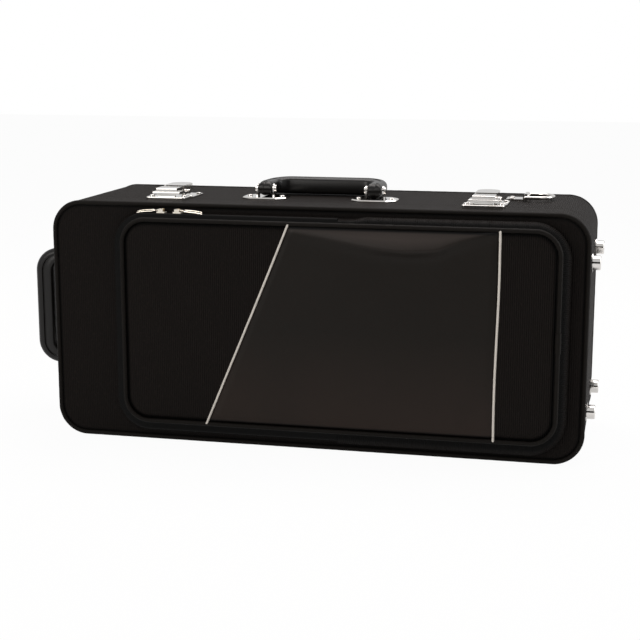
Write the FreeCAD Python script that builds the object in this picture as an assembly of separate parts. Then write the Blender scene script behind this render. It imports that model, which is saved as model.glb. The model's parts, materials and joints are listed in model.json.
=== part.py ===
"""Hard trumpet case that stands on its long side: hinged lid, zipped lid pocket, latches, handles."""

import FreeCAD, Part
import math
import os

os.makedirs("parts", exist_ok=True)

# All lengths are millimetres and all angles degrees.
# X runs along the case, Y from the lid's front to the back, Z up.
# The origin is the middle of the face that the case stands on.

# Case box
case_length = 540.0
case_height = 244.0
case_depth = 169.0
lid_depth = 44.0
corner_radius = 30.0
cover_thickness = 1.2
board_thickness = 5.0
seam_gap = 0.3
piping_width = 3.2
piping_round = 1.4
seat_gap = 0.3
cut_overrun = 2.0

# Rim that guides the closed lid
rim_thickness = 2.0
rim_reach = 4.0
rim_root = 10.0
rim_clearance = 0.3

# Lid hinges in the bottom edge
hinge_spread = 300.0
hinge_length = 60.0
hinge_knuckle_count = 5
hinge_axis_height = 2.6
hinge_knuckle_radius = 2.0
hinge_pin_radius = 1.0
hinge_leaf_depth = 20.0
hinge_leaf_thickness = 1.0
hinge_leaf_start = 4.0
hinge_knuckle_play = 0.4
hinge_relief_angle = 28.0
running_clearance = 0.05

# Foam inside
bed_recess = 1.5
bed_floor_thickness = 12.0
bed_end_block = 18.0
lid_padding_thickness = 15.0
channel_rise = 28.0
channel_width = 84.0
bell_width = 126.0
bell_length = 120.0
bell_flare_length = 48.0
valve_place = -10.0
valve_length = 100.0
valve_width = 186.0
valve_rise = 1.0
accessory_wall = 3.0
accessory_height = 78.0

# Handles
handle_pivot_height = 10.5
handle_span = 114.0
handle_arm_width = 14.0
handle_thickness = 15.6
handle_bar_width = 20.0
handle_reach = 52.0
handle_shoulder_radius = 25.0
handle_round = 6.0
handle_inner_round = 3.5
handle_eye_round = 1.5
handle_pin_radius = 2.0
handle_pin_head_radius = 3.2
handle_pin_head_height = 1.4
ear_thickness = 1.6
ear_radius = 4.5
ear_gap = 0.9
bracket_length = 46.0
bracket_width = 36.0
bracket_thickness = 2.2
bracket_bevel = 9.0
bracket_rivet_spread = 34.0
top_handle_shift = -6.0
top_handle_setback = 24.0
top_handle_fold = -91.2
end_handle_drop = 6.0
end_handle_setback = 53.0

# Rivets
rivet_shank_radius = 1.4
rivet_shank_length = 4.5
rivet_head_radius = 2.6
rivet_head_height = 1.2
rivet_head_round = 0.7

# Latches
latch_left_margin = 113.0
latch_right_margin = 105.0
latch_width = 41.5
latch_corner = 3.0
keeper_lead = 22.0
keeper_depth = 20.0
keeper_thickness = 3.5
keeper_round = 1.0
catch_width = 18.0
catch_depth = 4.0
catch_inset = 4.0
catch_height = 2.0
latch_plate_setback = 2.2
latch_plate_depth = 40.0
latch_plate_thickness = 1.5
lever_width = 22.0
lever_wall = 1.4
lever_front_lead = 3.0
lever_tail = 32.0
lever_pivot_lead = 8.0
lever_pivot_height = 6.6
lever_crown = 6.0
lever_skirt = 4.2
lever_skirt_tail = 24.0
lever_pin_radius = 1.3
cheek_thickness = 1.4
cheek_half_depth = 3.0
cheek_gap = 0.3
hook_arm_width = 3.0
hook_gap = 0.3
hook_plate_thickness = 2.6
hook_plate_depth = 17.0
hook_pin_radius = 1.1
hook_pin_back = 6.0
hook_pin_drop = 1.0
hook_eye_radius = 2.4
hook_front_round = 1.0
hood_setback = 1.5
hood_reach = 3.0
hood_drop = 0.6
hood_wall = 1.3
hood_round = 1.2
latch_rivet_spread = 34.0
latch_rivet_rows = 28.0
keeper_rivet_spread = 34.0

# Strap ring on the top
ring_margin = 70.0
ring_setback = 68.0
ring_wire_radius = 1.7
ring_width = 36.0
ring_leg = 9.0
ring_height = 3.9
ring_plate_length = 20.0
ring_plate_width = 22.0
ring_plate_thickness = 1.6
ring_knuckle_wall = 1.4
ring_rivet_spread = 12.0
ring_rivet_lead = 14.9

# Feet on the right end
foot_top_margin = 49.0
foot_bottom_margin = 48.0
foot_on_lid_inset = 24.0
foot_on_base_inset = 39.0
foot_flange_radius = 9.0
foot_flange_height = 1.5
foot_radius = 7.0
foot_height = 9.0
foot_round = 1.2

# Pocket on the lid's front
pocket_depth = 22.0
pocket_left_margin = 64.0
pocket_right_margin = 18.0
pocket_bottom_margin = 7.0
pocket_top_margin = 9.2
pocket_foot_radius = 36.0
pocket_left_slope = 17.0
pocket_right_slope = 8.0
pocket_bottom_slope = 17.0
pocket_top_slope = 4.8
pocket_face_radius = 25.0
pocket_wall = 1.8
pocket_piping = 3.6
pocket_piping_round = 1.5
pocket_piping_proud = 0.7
flap_share = 0.513
flap_gap = 0.3
zip_depth = 6.0
zip_width = 1.6
zip_gap = 0.2
zip_proud = 0.5
trim_width = 3.4
trim_proud = 0.9
left_trim_bottom_share = 0.203
left_trim_top_share = 0.4247
right_trim_bottom_share = 0.8529
right_trim_top_share = 0.8581
sleeve_length = 20.0
sleeve_rise = 2.0
sleeve_wall = 0.6

# Zip sliders and their pulls
slider_lead = 16.8
slider_spacing = 17.0
slider_length = 12.0
slider_width = 6.0
slider_thickness = 1.8
slider_nose = 2.0
slider_cheek_length = 5.0
slider_cheek_thickness = 1.2
slider_pin_radius = 0.7
slider_pin_height = 1.4
pull_eye_radius = 1.1
pull_length = 26.5
pull_width = 6.0
pull_thickness = 1.1
pull_round = 2.0
pull_gap = 0.3
pull_droop = 4.0

# Places worked out from the sizes above
half_length = case_length / 2
y_front = -case_depth / 2
y_back = case_depth / 2
y_seam = y_front + lid_depth
wall = cover_thickness + board_thickness
middle_height = case_height / 2
case_outline = (-half_length, half_length, 0, case_height, corner_radius)
top_handle_y = y_seam + top_handle_setback
end_handle_y = y_seam + end_handle_setback
end_handle_z = middle_height - end_handle_drop
latch_places = {"left": -half_length + latch_left_margin, "right": half_length - latch_right_margin}
keeper_front = y_seam - keeper_lead
latch_plate_front = y_seam + latch_plate_setback
ring_place = half_length - ring_margin
ring_depth = y_seam + ring_setback
foot_heights = (foot_bottom_margin, case_height - foot_top_margin)
X = FreeCAD.Vector(1, 0, 0)
Y = FreeCAD.Vector(0, 1, 0)
Z = FreeCAD.Vector(0, 0, 1)


# Shared shapes
def at(x, y, z):
    return FreeCAD.Vector(x, y, z)


def box(x0, x1, y0, y1, z0, z1):
    return Part.makeBox(x1 - x0, y1 - y0, z1 - z0, at(x0, y0, z0))


def rod(radius, start, length, along):
    return Part.makeCylinder(radius, length, start, along)


def middle_rod(radius, middle, length, along):
    return rod(radius, middle - along * (length / 2), length, along)


def inset(outline, distance):
    x0, x1, z0, z1, radius = outline
    return (x0 + distance, x1 - distance, z0 + distance, z1 - distance, radius - distance)


def outline_wire(outline, y):
    """Rounded rectangle in the plane at this depth."""
    x0, x1, z0, z1, radius = outline
    corners = [(x1, z0, 270), (x1, z1, 0), (x0, z1, 90), (x0, z0, 180)]
    edges = []
    ends = []
    for x, z, start in corners:
        middle = at(x - math.copysign(radius, x - (x0 + x1) / 2), y,
                    z - math.copysign(radius, z - (z0 + z1) / 2))
        points = []
        for turn in (0, 45, 90):
            angle = math.radians(start + turn)
            points.append(middle + at(radius * math.cos(angle), 0, radius * math.sin(angle)))
        ends.append(points)
    for number, points in enumerate(ends):
        edges.append(Part.Arc(*points).toShape())
        edges.append(Part.LineSegment(points[2], ends[(number + 1) % 4][0]).toShape())
    return Part.Wire(edges)


def slab(outline, y0, y1):
    return Part.Face(outline_wire(outline, y0)).extrude(at(0, y1 - y0, 0))


def rounded_slab(outline, y_face, y_other, radius):
    """A slab whose edge is rounded where it meets the outer face."""
    plain = slab(outline, min(y_face, y_other), max(y_face, y_other))
    edges = []
    for edge in plain.Edges:
        bounds = edge.BoundBox
        if bounds.YLength < seat_gap and abs(bounds.Center.y - y_face) < seat_gap:
            edges.append(edge)
    return plain.makeFillet(radius, edges)


def prism(points, y0, y1):
    """A polygon of x and z points, extruded along Y."""
    corners = [at(x, y0, z) for x, z in points]
    corners.append(corners[0])
    return Part.Face(Part.makePolygon(corners)).extrude(at(0, y1 - y0, 0))


def side_prism(points, x0, x1):
    """A polygon of y and z points, extruded along X."""
    corners = [at(x0, y, z) for y, z in points]
    corners.append(corners[0])
    return Part.Face(Part.makePolygon(corners)).extrude(at(x1 - x0, 0, 0))


def rounded_edges(shape, radius, along):
    """Rounds the straight edges that run along one axis."""
    edges = []
    for edge in shape.Edges:
        line = edge.lastVertex().Point - edge.firstVertex().Point
        if edge.Curve.TypeId == "Part::GeomLine" and abs(line.dot(along)) > line.Length / 2:
            edges.append(edge)
    return shape.makeFillet(radius, edges)


def rounded_rims(shape, radius):
    """A rod with both its end rims rounded."""
    rims = [edge for edge in shape.Edges if edge.Curve.TypeId == "Part::GeomCircle"]
    return shape.makeFillet(radius, rims)


def cut_all(shape, tools):
    for tool in tools:
        if shape.BoundBox.intersect(tool.BoundBox):
            shape = shape.cut(tool)
    return shape


def fused(shapes):
    whole = shapes[0]
    for shape in shapes[1:]:
        whole = whole.fuse(shape)
    return whole.removeSplitter()


def rivet(place, outward, thickness):
    """A domed rivet through a plate of this thickness; place is on the case's surface."""
    top = place + outward * thickness
    head = rod(rivet_head_radius, top, rivet_head_height, outward)
    rim = [edge for edge in head.Edges if (edge.CenterOfMass - top).dot(outward) > rivet_head_height / 2
           and edge.Curve.TypeId == "Part::GeomCircle"]
    head = head.makeFillet(rivet_head_round, rim)
    shank = rod(rivet_shank_radius, place - outward * rivet_shank_length, rivet_shank_length + thickness, outward)
    return head.fuse(shank)


nodes = {}
rivets_in = {"base": [], "lid": []}


def keep(name, *shapes):
    nodes[name] = list(shapes)


# The lid's hinge
def hinge_relief():
    """The groove along the bottom seam that lets the two edges swing past each other."""
    rise = hinge_axis_height + seat_gap
    reach = (rise + cut_overrun) / math.tan(math.radians(hinge_relief_angle))
    points = [(y_seam - reach, -cut_overrun), (y_seam + reach, -cut_overrun), (y_seam, rise)]
    return side_prism(points, -half_length, half_length)


def hinge_seat(x):
    """The room that one hinge takes out of the walls."""
    room = middle_rod(hinge_knuckle_radius + hinge_knuckle_play, at(x, y_seam, hinge_axis_height),
                      hinge_length + 2 * seat_gap, X)
    leaf_top = hinge_axis_height - hinge_knuckle_radius + hinge_leaf_thickness
    reach = hinge_leaf_depth + seat_gap
    side = hinge_length / 2 + seat_gap
    return room.fuse(box(x - side, x + side, y_seam - reach, y_seam + reach, -cut_overrun, leaf_top))


def hinge_leaf(x, side, first):
    """One leaf with its knuckles: side is 1 on the base and -1 on the lid."""
    pitch = hinge_length / hinge_knuckle_count
    low = hinge_axis_height - hinge_knuckle_radius
    start = x - hinge_length / 2
    plate_start = y_seam + side * hinge_leaf_start
    plate_end = y_seam + side * hinge_leaf_depth
    pieces = [box(start, start + hinge_length, min(plate_start, plate_end), max(plate_start, plate_end),
                  low, low + hinge_leaf_thickness)]
    for number in range(first, hinge_knuckle_count, 2):
        x0 = start + number * pitch + seat_gap / 2
        x1 = start + (number + 1) * pitch - seat_gap / 2
        pieces.append(rod(hinge_knuckle_radius, at(x0, y_seam, hinge_axis_height), x1 - x0, X))
        pieces.append(box(x0, x1, min(y_seam, plate_start), max(y_seam, plate_start),
                          low, low + hinge_leaf_thickness))
    bore = middle_rod(hinge_pin_radius + running_clearance, at(x, y_seam, hinge_axis_height),
                      hinge_length + cut_overrun, X)
    return fused(pieces).cut(bore)


hinge_places = [-hinge_spread / 2, hinge_spread / 2]
keep("hinge_base_leaves", *[hinge_leaf(x, 1, 0) for x in hinge_places])
keep("hinge_lid_leaves", *[hinge_leaf(x, -1, 1) for x in hinge_places])
keep("hinge_pins", *[middle_rod(hinge_pin_radius, at(x, y_seam, hinge_axis_height), hinge_length, X)
                     for x in hinge_places])
hinge_room = [hinge_relief()] + [hinge_seat(x) for x in hinge_places]

# The base: a board tray with a fabric skin, and a rim that guides the lid
base_front = y_seam + seam_gap / 2
base_cavity = inset(case_outline, wall + rim_clearance)
base_floor = y_back - wall

base_band = slab(case_outline, base_front, y_back - piping_width)
base_band = base_band.cut(slab(inset(case_outline, cover_thickness), base_front - cut_overrun, y_back))
base_board = slab(inset(case_outline, cover_thickness), base_front, y_back - piping_width)
base_board = base_board.fuse(slab(inset(case_outline, piping_width), base_front, y_back - cover_thickness))
base_board = base_board.cut(slab(base_cavity, base_front - cut_overrun, base_floor)).removeSplitter()
base_piping = rounded_slab(case_outline, y_back, y_back - piping_width, piping_round)
base_piping = base_piping.cut(slab(inset(case_outline, piping_width), y_back - piping_width - cut_overrun,
                                   y_back + cut_overrun))
base_back = slab(inset(case_outline, piping_width), y_back - cover_thickness, y_back)

rim_outer = slab(base_cavity, y_seam - rim_reach, base_front + rim_root)
rim_inner = slab(inset(base_cavity, rim_thickness), y_seam - rim_reach - cut_overrun,
                 base_front + rim_root + cut_overrun)
rim_floor = box(-half_length, half_length, y_front, y_back, 0, corner_radius)
base_rim = rim_outer.cut(rim_inner).cut(rim_floor)

# The lid: a shallow tray with the same skin
lid_back = y_seam - seam_gap / 2
lid_cavity = inset(case_outline, wall)
lid_floor = y_front + wall

lid_band = slab(case_outline, y_front + piping_width, lid_back)
lid_band = lid_band.cut(slab(inset(case_outline, cover_thickness), y_front, lid_back + cut_overrun))
lid_board = slab(inset(case_outline, cover_thickness), y_front + piping_width, lid_back)
lid_board = lid_board.fuse(slab(inset(case_outline, piping_width), y_front + cover_thickness, lid_back))
lid_board = lid_board.cut(slab(lid_cavity, lid_floor, lid_back + cut_overrun)).removeSplitter()
lid_piping = rounded_slab(case_outline, y_front, y_front + piping_width, piping_round)
lid_piping = lid_piping.cut(slab(inset(case_outline, piping_width), y_front - cut_overrun,
                                 y_front + piping_width + cut_overrun))
lid_front = slab(inset(case_outline, piping_width), y_front, y_front + cover_thickness)

# Foam bed: a floor and blocks that leave the trumpet's recess, and an accessory box
bed_outline = inset(base_cavity, rim_thickness + seat_gap)
bed_left, bed_right, bed_bottom, bed_top, bed_corner = bed_outline
bed_front = y_seam + bed_recess
bed_floor_front = base_floor - bed_floor_thickness
channel_height = middle_height + channel_rise
channel_bottom = channel_height - channel_width / 2
channel_top = channel_height + channel_width / 2
bell_bottom = channel_height - bell_width / 2
bell_top = channel_height + bell_width / 2
recess_left = bed_left + bed_end_block
recess_right = bed_right - bed_end_block
valve_left = valve_place - valve_length / 2
valve_right = valve_place + valve_length / 2
valve_bottom = middle_height + valve_rise - valve_width / 2
valve_top = middle_height + valve_rise + valve_width / 2
bell_start = recess_right - bell_length
flare_start = bell_start - bell_flare_length
accessory_top = bed_bottom + accessory_height


def foam_block(points):
    block = prism(points, bed_front, bed_floor_front)
    return block.common(slab(bed_outline, bed_front, bed_floor_front))


def foam_bar(x0, x1, z0, z1):
    return foam_block([(x0, z0), (x1, z0), (x1, z1), (x0, z1)])


bed_blocks = [
    foam_bar(bed_left, recess_left, bed_bottom, bed_top),
    foam_bar(recess_left, valve_left, bed_bottom, channel_bottom),
    foam_bar(recess_left, valve_left, channel_top, bed_top),
    foam_bar(valve_left, valve_right, bed_bottom, valve_bottom),
    foam_bar(valve_left, valve_right, valve_top, bed_top),
    foam_block([(valve_right, accessory_top), (bell_start, accessory_top), (bell_start, bell_bottom),
                (flare_start, channel_bottom), (valve_right, channel_bottom)]),
    foam_block([(valve_right, channel_top), (flare_start, channel_top), (bell_start, bell_top),
                (bell_start, bed_top), (valve_right, bed_top)]),
    foam_bar(bell_start, recess_right, bell_top, bed_top),
    foam_bar(recess_right, bed_right, bed_bottom, bed_top),
]

accessory_outer = box(valve_right + seat_gap, recess_right - seat_gap, bed_front, bed_floor_front,
                      bed_bottom, accessory_top - seat_gap)
accessory_outer = accessory_outer.common(slab(bed_outline, bed_front, bed_floor_front))
accessory_hollow = box(valve_right + seat_gap + accessory_wall, recess_right - seat_gap - accessory_wall,
                       bed_front - cut_overrun, bed_floor_front - accessory_wall,
                       bed_bottom + accessory_wall, accessory_top - seat_gap - accessory_wall)
accessory_box = accessory_outer.cut(accessory_hollow)

keep("bed_floor", slab(bed_outline, bed_floor_front, base_floor))
keep("bed_blocks", *bed_blocks)
keep("accessory_box", accessory_box)
keep("lid_padding", slab(bed_outline, lid_floor, lid_floor + lid_padding_thickness))


# Handles, drawn standing on a surface at z = 0 with the pivot line along X
def bracket(x):
    """A bevelled plate with two ears for the pin."""
    half_x = bracket_length / 2
    half_y = bracket_width / 2
    points = [(-half_x, -half_y + bracket_bevel), (-half_x + bracket_bevel, -half_y),
              (half_x - bracket_bevel, -half_y), (half_x, -half_y + bracket_bevel),
              (half_x, half_y - bracket_bevel), (half_x - bracket_bevel, half_y),
              (-half_x + bracket_bevel, half_y), (-half_x, half_y - bracket_bevel)]
    corners = [at(px, py, 0) for px, py in points]
    corners.append(corners[0])
    plate = Part.Face(Part.makePolygon(corners)).extrude(at(0, 0, bracket_thickness))
    top_edges = [edge for edge in plate.Edges if edge.BoundBox.ZMin > bracket_thickness / 2]
    pieces = [plate.makeChamfer(bracket_thickness / 2, top_edges)]
    for side in (-1, 1):
        middle = side * (handle_arm_width / 2 + ear_gap + ear_thickness / 2)
        x0 = middle - ear_thickness / 2
        pieces.append(box(x0, x0 + ear_thickness, -ear_radius, ear_radius, 0, handle_pivot_height))
        pieces.append(rod(ear_radius, at(x0, 0, handle_pivot_height), ear_thickness, X))
    hole = middle_rod(handle_pin_radius, at(0, 0, handle_pivot_height), bracket_length, X)
    return fused(pieces).cut(hole).translated(at(x, 0, 0))


def handle_pin(x):
    length = handle_arm_width + 2 * (ear_gap + ear_thickness)
    shank = middle_rod(handle_pin_radius, at(0, 0, handle_pivot_height), length, X)
    pieces = [shank]
    for side in (-1, 1):
        pieces.append(rod(handle_pin_head_radius, at(side * length / 2, 0, handle_pivot_height),
                          handle_pin_head_height, X * side))
    return fused(pieces).translated(at(x, 0, 0))


def handle_grip():
    """A moulded bail with round edges, its two arms on the pins, drawn upright."""
    half = handle_span / 2 + handle_arm_width / 2
    low = handle_pivot_height - cut_overrun
    top = handle_pivot_height + handle_reach
    outer_radius = handle_shoulder_radius
    inner_radius = max(outer_radius - handle_arm_width, handle_inner_round)
    depth = handle_thickness / 2
    outer = slab((-half, half, low - outer_radius, top, outer_radius), -depth, depth)
    outer_rims = [edge for edge in outer.Edges if edge.BoundBox.YLength < handle_inner_round
                  and edge.BoundBox.ZMax > handle_pivot_height]
    outer = outer.makeFillet(handle_round, outer_rims)
    inner = slab((-half + handle_arm_width, half - handle_arm_width, low - outer_radius - inner_radius,
                  top - handle_bar_width, inner_radius), -depth - cut_overrun, depth + cut_overrun)
    bail = outer.cut(inner)
    reach_inside = half - handle_arm_width + handle_inner_round
    inner_rims = [edge for edge in bail.Edges if edge.BoundBox.YLength < handle_inner_round
                  and edge.BoundBox.ZMax > handle_pivot_height and edge.BoundBox.XMax < reach_inside
                  and edge.BoundBox.XMin > -reach_inside and edge.BoundBox.ZMax < top - handle_round]
    bail = bail.makeFillet(handle_inner_round, inner_rims)
    pieces = [bail.common(box(-half, half, -depth, depth, handle_pivot_height, top))]
    for side in (-1, 1):
        x0 = side * handle_span / 2 - handle_arm_width / 2
        eye = rod(depth, at(x0, 0, handle_pivot_height), handle_arm_width, X)
        pieces.append(rounded_rims(eye, handle_eye_round))
    bore = middle_rod(handle_pin_radius + running_clearance, at(0, 0, handle_pivot_height), 4 * half, X)
    return fused(pieces).cut(bore)


def handle_set(name, first, second, place, turn, fold):
    """Brackets, pins, rivets and grip, placed on the case."""
    pivots = (-handle_span / 2, handle_span / 2)
    grip = handle_grip()
    grip.rotate(at(0, 0, handle_pivot_height), X, fold)
    rivets = []
    for x in pivots:
        for side in (-1, 1):
            rivets.append(rivet(at(x + side * bracket_rivet_spread / 2, 0, 0), Z, bracket_thickness))
    made = {
        name + "_bracket_" + first: [bracket(pivots[0])],
        name + "_bracket_" + second: [bracket(pivots[1])],
        name + "_pins": [handle_pin(x) for x in pivots],
        name + "_grip": [grip],
    }
    for shape in rivets + [shape for shapes in made.values() for shape in shapes]:
        shape.rotate(at(0, 0, 0), Y, turn)
        shape.translate(place)
    for bracket_name in (name + "_bracket_" + first, name + "_bracket_" + second):
        made[bracket_name] = [cut_all(made[bracket_name][0], rivets)]
    nodes.update(made)
    rivets_in["base"].extend(rivets)


handle_set("top_handle", "left", "right", at(top_handle_shift, top_handle_y, case_height), 0, top_handle_fold)
handle_set("end_handle", "lower", "upper", at(-half_length, end_handle_y, end_handle_z), -90, 0)


# Latches, drawn at x = 0 on the case's top
def rounded_plate(x_half, y0, y1, thickness):
    plate = box(-x_half, x_half, y0, y1, case_height, case_height + thickness)
    return rounded_edges(plate, latch_corner, Z)


def latch_keeper():
    """The plate on the lid, with the raised catch that the hook drops over."""
    plate = rounded_plate(latch_width / 2, keeper_front, keeper_front + keeper_depth, keeper_thickness)
    top = case_height + keeper_thickness
    rim = [edge for edge in plate.Edges if edge.BoundBox.ZMin > top - keeper_round]
    plate = plate.makeFillet(keeper_round, rim)
    catch_front = keeper_front + catch_inset
    catch = box(-catch_width / 2, catch_width / 2, catch_front, catch_front + catch_depth,
                case_height + keeper_thickness / 2, top + catch_height)
    return plate.fuse(catch).removeSplitter()


lever_axis_y = latch_plate_front + lever_pivot_lead
lever_axis_z = case_height + lever_pivot_height
cheek_outer = lever_width / 2 - lever_wall - cheek_gap
hook_outer = lever_width / 2 + hook_gap + hook_arm_width


def latch_base():
    """The plate on the base, with two cheeks that carry the lever."""
    plate = rounded_plate(latch_width / 2, latch_plate_front, latch_plate_front + latch_plate_depth,
                          latch_plate_thickness)
    pieces = [plate]
    for side in (-1, 1):
        x0 = min(side * cheek_outer, side * (cheek_outer - cheek_thickness))
        pieces.append(box(x0, x0 + cheek_thickness, lever_axis_y - cheek_half_depth,
                          lever_axis_y + cheek_half_depth, case_height, lever_axis_z))
        pieces.append(rod(cheek_half_depth, at(x0, lever_axis_y, lever_axis_z), cheek_thickness, X))
    hole = middle_rod(lever_pin_radius, at(0, lever_axis_y, lever_axis_z), lever_width, X)
    return fused(pieces).cut(hole)


def lever_pins():
    """Two short pins, one through each lever side and its cheek."""
    pins = []
    for side in (-1, 1):
        inner = at(side * (cheek_outer - cheek_thickness), lever_axis_y, lever_axis_z)
        pins.append(rod(lever_pin_radius, inner, cheek_thickness + cheek_gap + lever_wall, X * side))
    return pins


def latch_lever():
    """A pressed lever: a crowned top with a round tail, and a skirt on each side."""
    front = lever_axis_y - lever_front_lead
    tail = lever_axis_y + lever_tail
    half = lever_width / 2
    top = lever_axis_z + lever_crown
    web = box(-half, half, front, tail - half, top - lever_wall, top)
    web = web.fuse(rod(half, at(0, tail - half, top - lever_wall), lever_wall, Z))
    pieces = [web]
    skirt = [(front, top), (front, lever_axis_z - lever_skirt / 2),
             (lever_axis_y + lever_front_lead, lever_axis_z - lever_skirt),
             (lever_axis_y + lever_skirt_tail, lever_axis_z), (lever_axis_y + lever_skirt_tail, top)]
    for side in (-1, 1):
        x0 = min(side * half, side * (half - lever_wall))
        pieces.append(side_prism(skirt, x0, x0 + lever_wall))
    whole = fused(pieces)
    pivot = middle_rod(lever_pin_radius + running_clearance, at(0, lever_axis_y, lever_axis_z), 2 * lever_width, X)
    hook_hole = middle_rod(hook_pin_radius + running_clearance,
                           at(0, lever_axis_y + hook_pin_back, lever_axis_z - hook_pin_drop), 2 * lever_width, X)
    return whole.cut(pivot).cut(hook_hole)


def latch_hood(front, low, floor):
    """The raised cover on the hook plate, open towards the lever."""
    half = lever_width / 2
    hood_front = front + hood_setback
    hood_back = front + hook_plate_depth + hood_reach
    hood_top = lever_axis_z + lever_crown - hood_drop
    hood = box(-half, half, hood_front, hood_back, low, hood_top)
    front_edge = [edge for edge in hood.Edges if edge.BoundBox.YMax < hood_front + hood_wall
                  and edge.BoundBox.ZMin > hood_top - hood_wall]
    hood = hood.makeFillet(hood_round, front_edge)
    inner = half - hood_wall
    hood = hood.cut(box(-inner, inner, hood_front + hood_wall, hood_back + cut_overrun, floor, hood_top - hood_wall))
    return hood.cut(box(-half, half, front + hook_plate_depth, hood_back + cut_overrun, low, floor))


def latch_hook():
    """The hook plate in front of the lever, on two arms that run back outside it."""
    pin_y = lever_axis_y + hook_pin_back
    pin_z = lever_axis_z - hook_pin_drop
    low = case_height + keeper_thickness + catch_height + seat_gap
    top = low + hook_plate_thickness
    front = keeper_front + catch_inset - hook_front_round
    plate = box(-hook_outer, hook_outer, front, front + hook_plate_depth, low, top)
    edges = [edge for edge in plate.Edges if edge.BoundBox.YMax < front + hook_front_round
             and edge.BoundBox.ZMin > low]
    pieces = [plate.makeFillet(hook_front_round, edges), latch_hood(front, low, top)]
    for side in (-1, 1):
        x0 = min(side * hook_outer, side * (hook_outer - hook_arm_width))
        pieces.append(box(x0, x0 + hook_arm_width, front + hook_plate_depth - hook_front_round, pin_y,
                          pin_z - hook_eye_radius / 2, pin_z + hook_eye_radius / 2))
        pieces.append(rod(hook_eye_radius, at(x0, pin_y, pin_z), hook_arm_width, X))
        inner = at(side * (hook_outer - hook_arm_width), pin_y, pin_z)
        pieces.append(rod(hook_pin_radius, inner, hook_gap + lever_wall, X * -side))
    return fused(pieces)


for side_name, place in latch_places.items():
    move = at(place, 0, 0)
    keeper = latch_keeper().translated(move)
    plate = latch_base().translated(move)
    plate_rivets = []
    keeper_rivets = []
    for side in (-1, 1):
        x = place + side * latch_rivet_spread / 2
        plate_middle = latch_plate_front + latch_plate_depth / 2
        for row in (-1, 1):
            spot = at(x, plate_middle + row * latch_rivet_rows / 2, case_height)
            plate_rivets.append(rivet(spot, Z, latch_plate_thickness))
        spot = at(place + side * keeper_rivet_spread / 2, keeper_front + keeper_depth / 2, case_height)
        keeper_rivets.append(rivet(spot, Z, keeper_thickness))
    keep("latch_base_" + side_name, cut_all(plate, plate_rivets))
    keep("latch_keeper_" + side_name, cut_all(keeper, keeper_rivets))
    keep("latch_lever_" + side_name, latch_lever().translated(move))
    keep("latch_hook_" + side_name, latch_hook().translated(move))
    keep("latch_pins_" + side_name, *[pin.translated(move) for pin in lever_pins()])
    rivets_in["base"].extend(plate_rivets)
    rivets_in["lid"].extend(keeper_rivets)


# Strap ring on the top
def strap_ring():
    """A D of round wire, lying flat with its bar in the plate's knuckle."""
    middle = at(ring_place, ring_depth, case_height + ring_height)
    half = ring_width / 2
    pieces = [middle_rod(ring_wire_radius, middle, ring_width, Y)]
    for side in (-1, 1):
        corner = middle + at(0, side * half, 0)
        pieces.append(Part.makeSphere(ring_wire_radius, corner))
        pieces.append(rod(ring_wire_radius, corner, ring_leg, X))
    bow = Part.makeTorus(half, ring_wire_radius, middle + at(ring_leg, 0, 0), Z)
    reach = half + ring_wire_radius
    front_half = box(ring_place + ring_leg, ring_place + ring_leg + 2 * reach, ring_depth - 2 * reach,
                     ring_depth + 2 * reach, case_height, case_height + 2 * ring_height)
    pieces.append(bow.common(front_half))
    return fused(pieces)


def strap_ring_plate():
    axis = at(ring_place, ring_depth, case_height + ring_height)
    outer = ring_wire_radius + running_clearance + ring_knuckle_wall
    half = ring_plate_width / 2
    plate = box(ring_place - ring_plate_length, ring_place, ring_depth - half, ring_depth + half,
                case_height, case_height + ring_plate_thickness)
    web = box(ring_place - outer, ring_place + ring_knuckle_wall, ring_depth - half, ring_depth + half,
              case_height, case_height + ring_height)
    knuckle = middle_rod(outer, axis, ring_plate_width, Y)
    bore = middle_rod(ring_wire_radius + running_clearance, axis, 2 * ring_width, Y)
    return fused([plate, web, knuckle]).cut(bore)


ring_rivets = []
for side in (-1, 1):
    spot = at(ring_place - ring_rivet_lead, ring_depth + side * ring_rivet_spread / 2, case_height)
    ring_rivets.append(rivet(spot, Z, ring_plate_thickness))
keep("strap_ring", strap_ring())
keep("strap_ring_plate", cut_all(strap_ring_plate(), ring_rivets))
rivets_in["base"].extend(ring_rivets)
keep("base_rivets", *rivets_in["base"])
keep("lid_rivets", *rivets_in["lid"])


# Feet on the right end
def foot(y, z):
    root = at(half_length, y, z)
    flange = rod(foot_flange_radius, root, foot_flange_height, X)
    stud = rod(foot_radius, root, foot_height, X)
    rim = [edge for edge in stud.Edges if edge.Curve.TypeId == "Part::GeomCircle"
           and edge.CenterOfMass.x > half_length + foot_height / 2]
    return flange.fuse(stud.makeFillet(foot_round, rim)).removeSplitter()


keep("feet_on_lid", *[foot(y_front + foot_on_lid_inset, z) for z in foot_heights])
keep("feet_on_base", *[foot(y_back - foot_on_base_inset, z) for z in foot_heights])

# Pocket: a tapered gusset with a zip round its left, and a face sewn from three panels
pocket_foot = (-half_length + pocket_left_margin, half_length - pocket_right_margin,
               pocket_bottom_margin, case_height - pocket_top_margin, pocket_foot_radius)
pocket_face = (pocket_foot[0] + pocket_left_slope, pocket_foot[1] - pocket_right_slope,
               pocket_foot[2] + pocket_bottom_slope, pocket_foot[3] - pocket_top_slope, pocket_face_radius)
face_y = y_front - pocket_depth
piping_root = pocket_depth - pocket_piping + pocket_piping_proud
pocket_length = pocket_foot[1] - pocket_foot[0]
flap_place = pocket_foot[0] + flap_share * pocket_length
flap_left_side = flap_place - flap_gap / 2
flap_right_side = flap_place + flap_gap / 2


def pocket_outline(depth):
    """The gusset's outline at this distance in front of the lid."""
    share = depth / pocket_depth
    return tuple(foot_value + share * (face_value - foot_value)
                 for foot_value, face_value in zip(pocket_foot, pocket_face))


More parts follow.
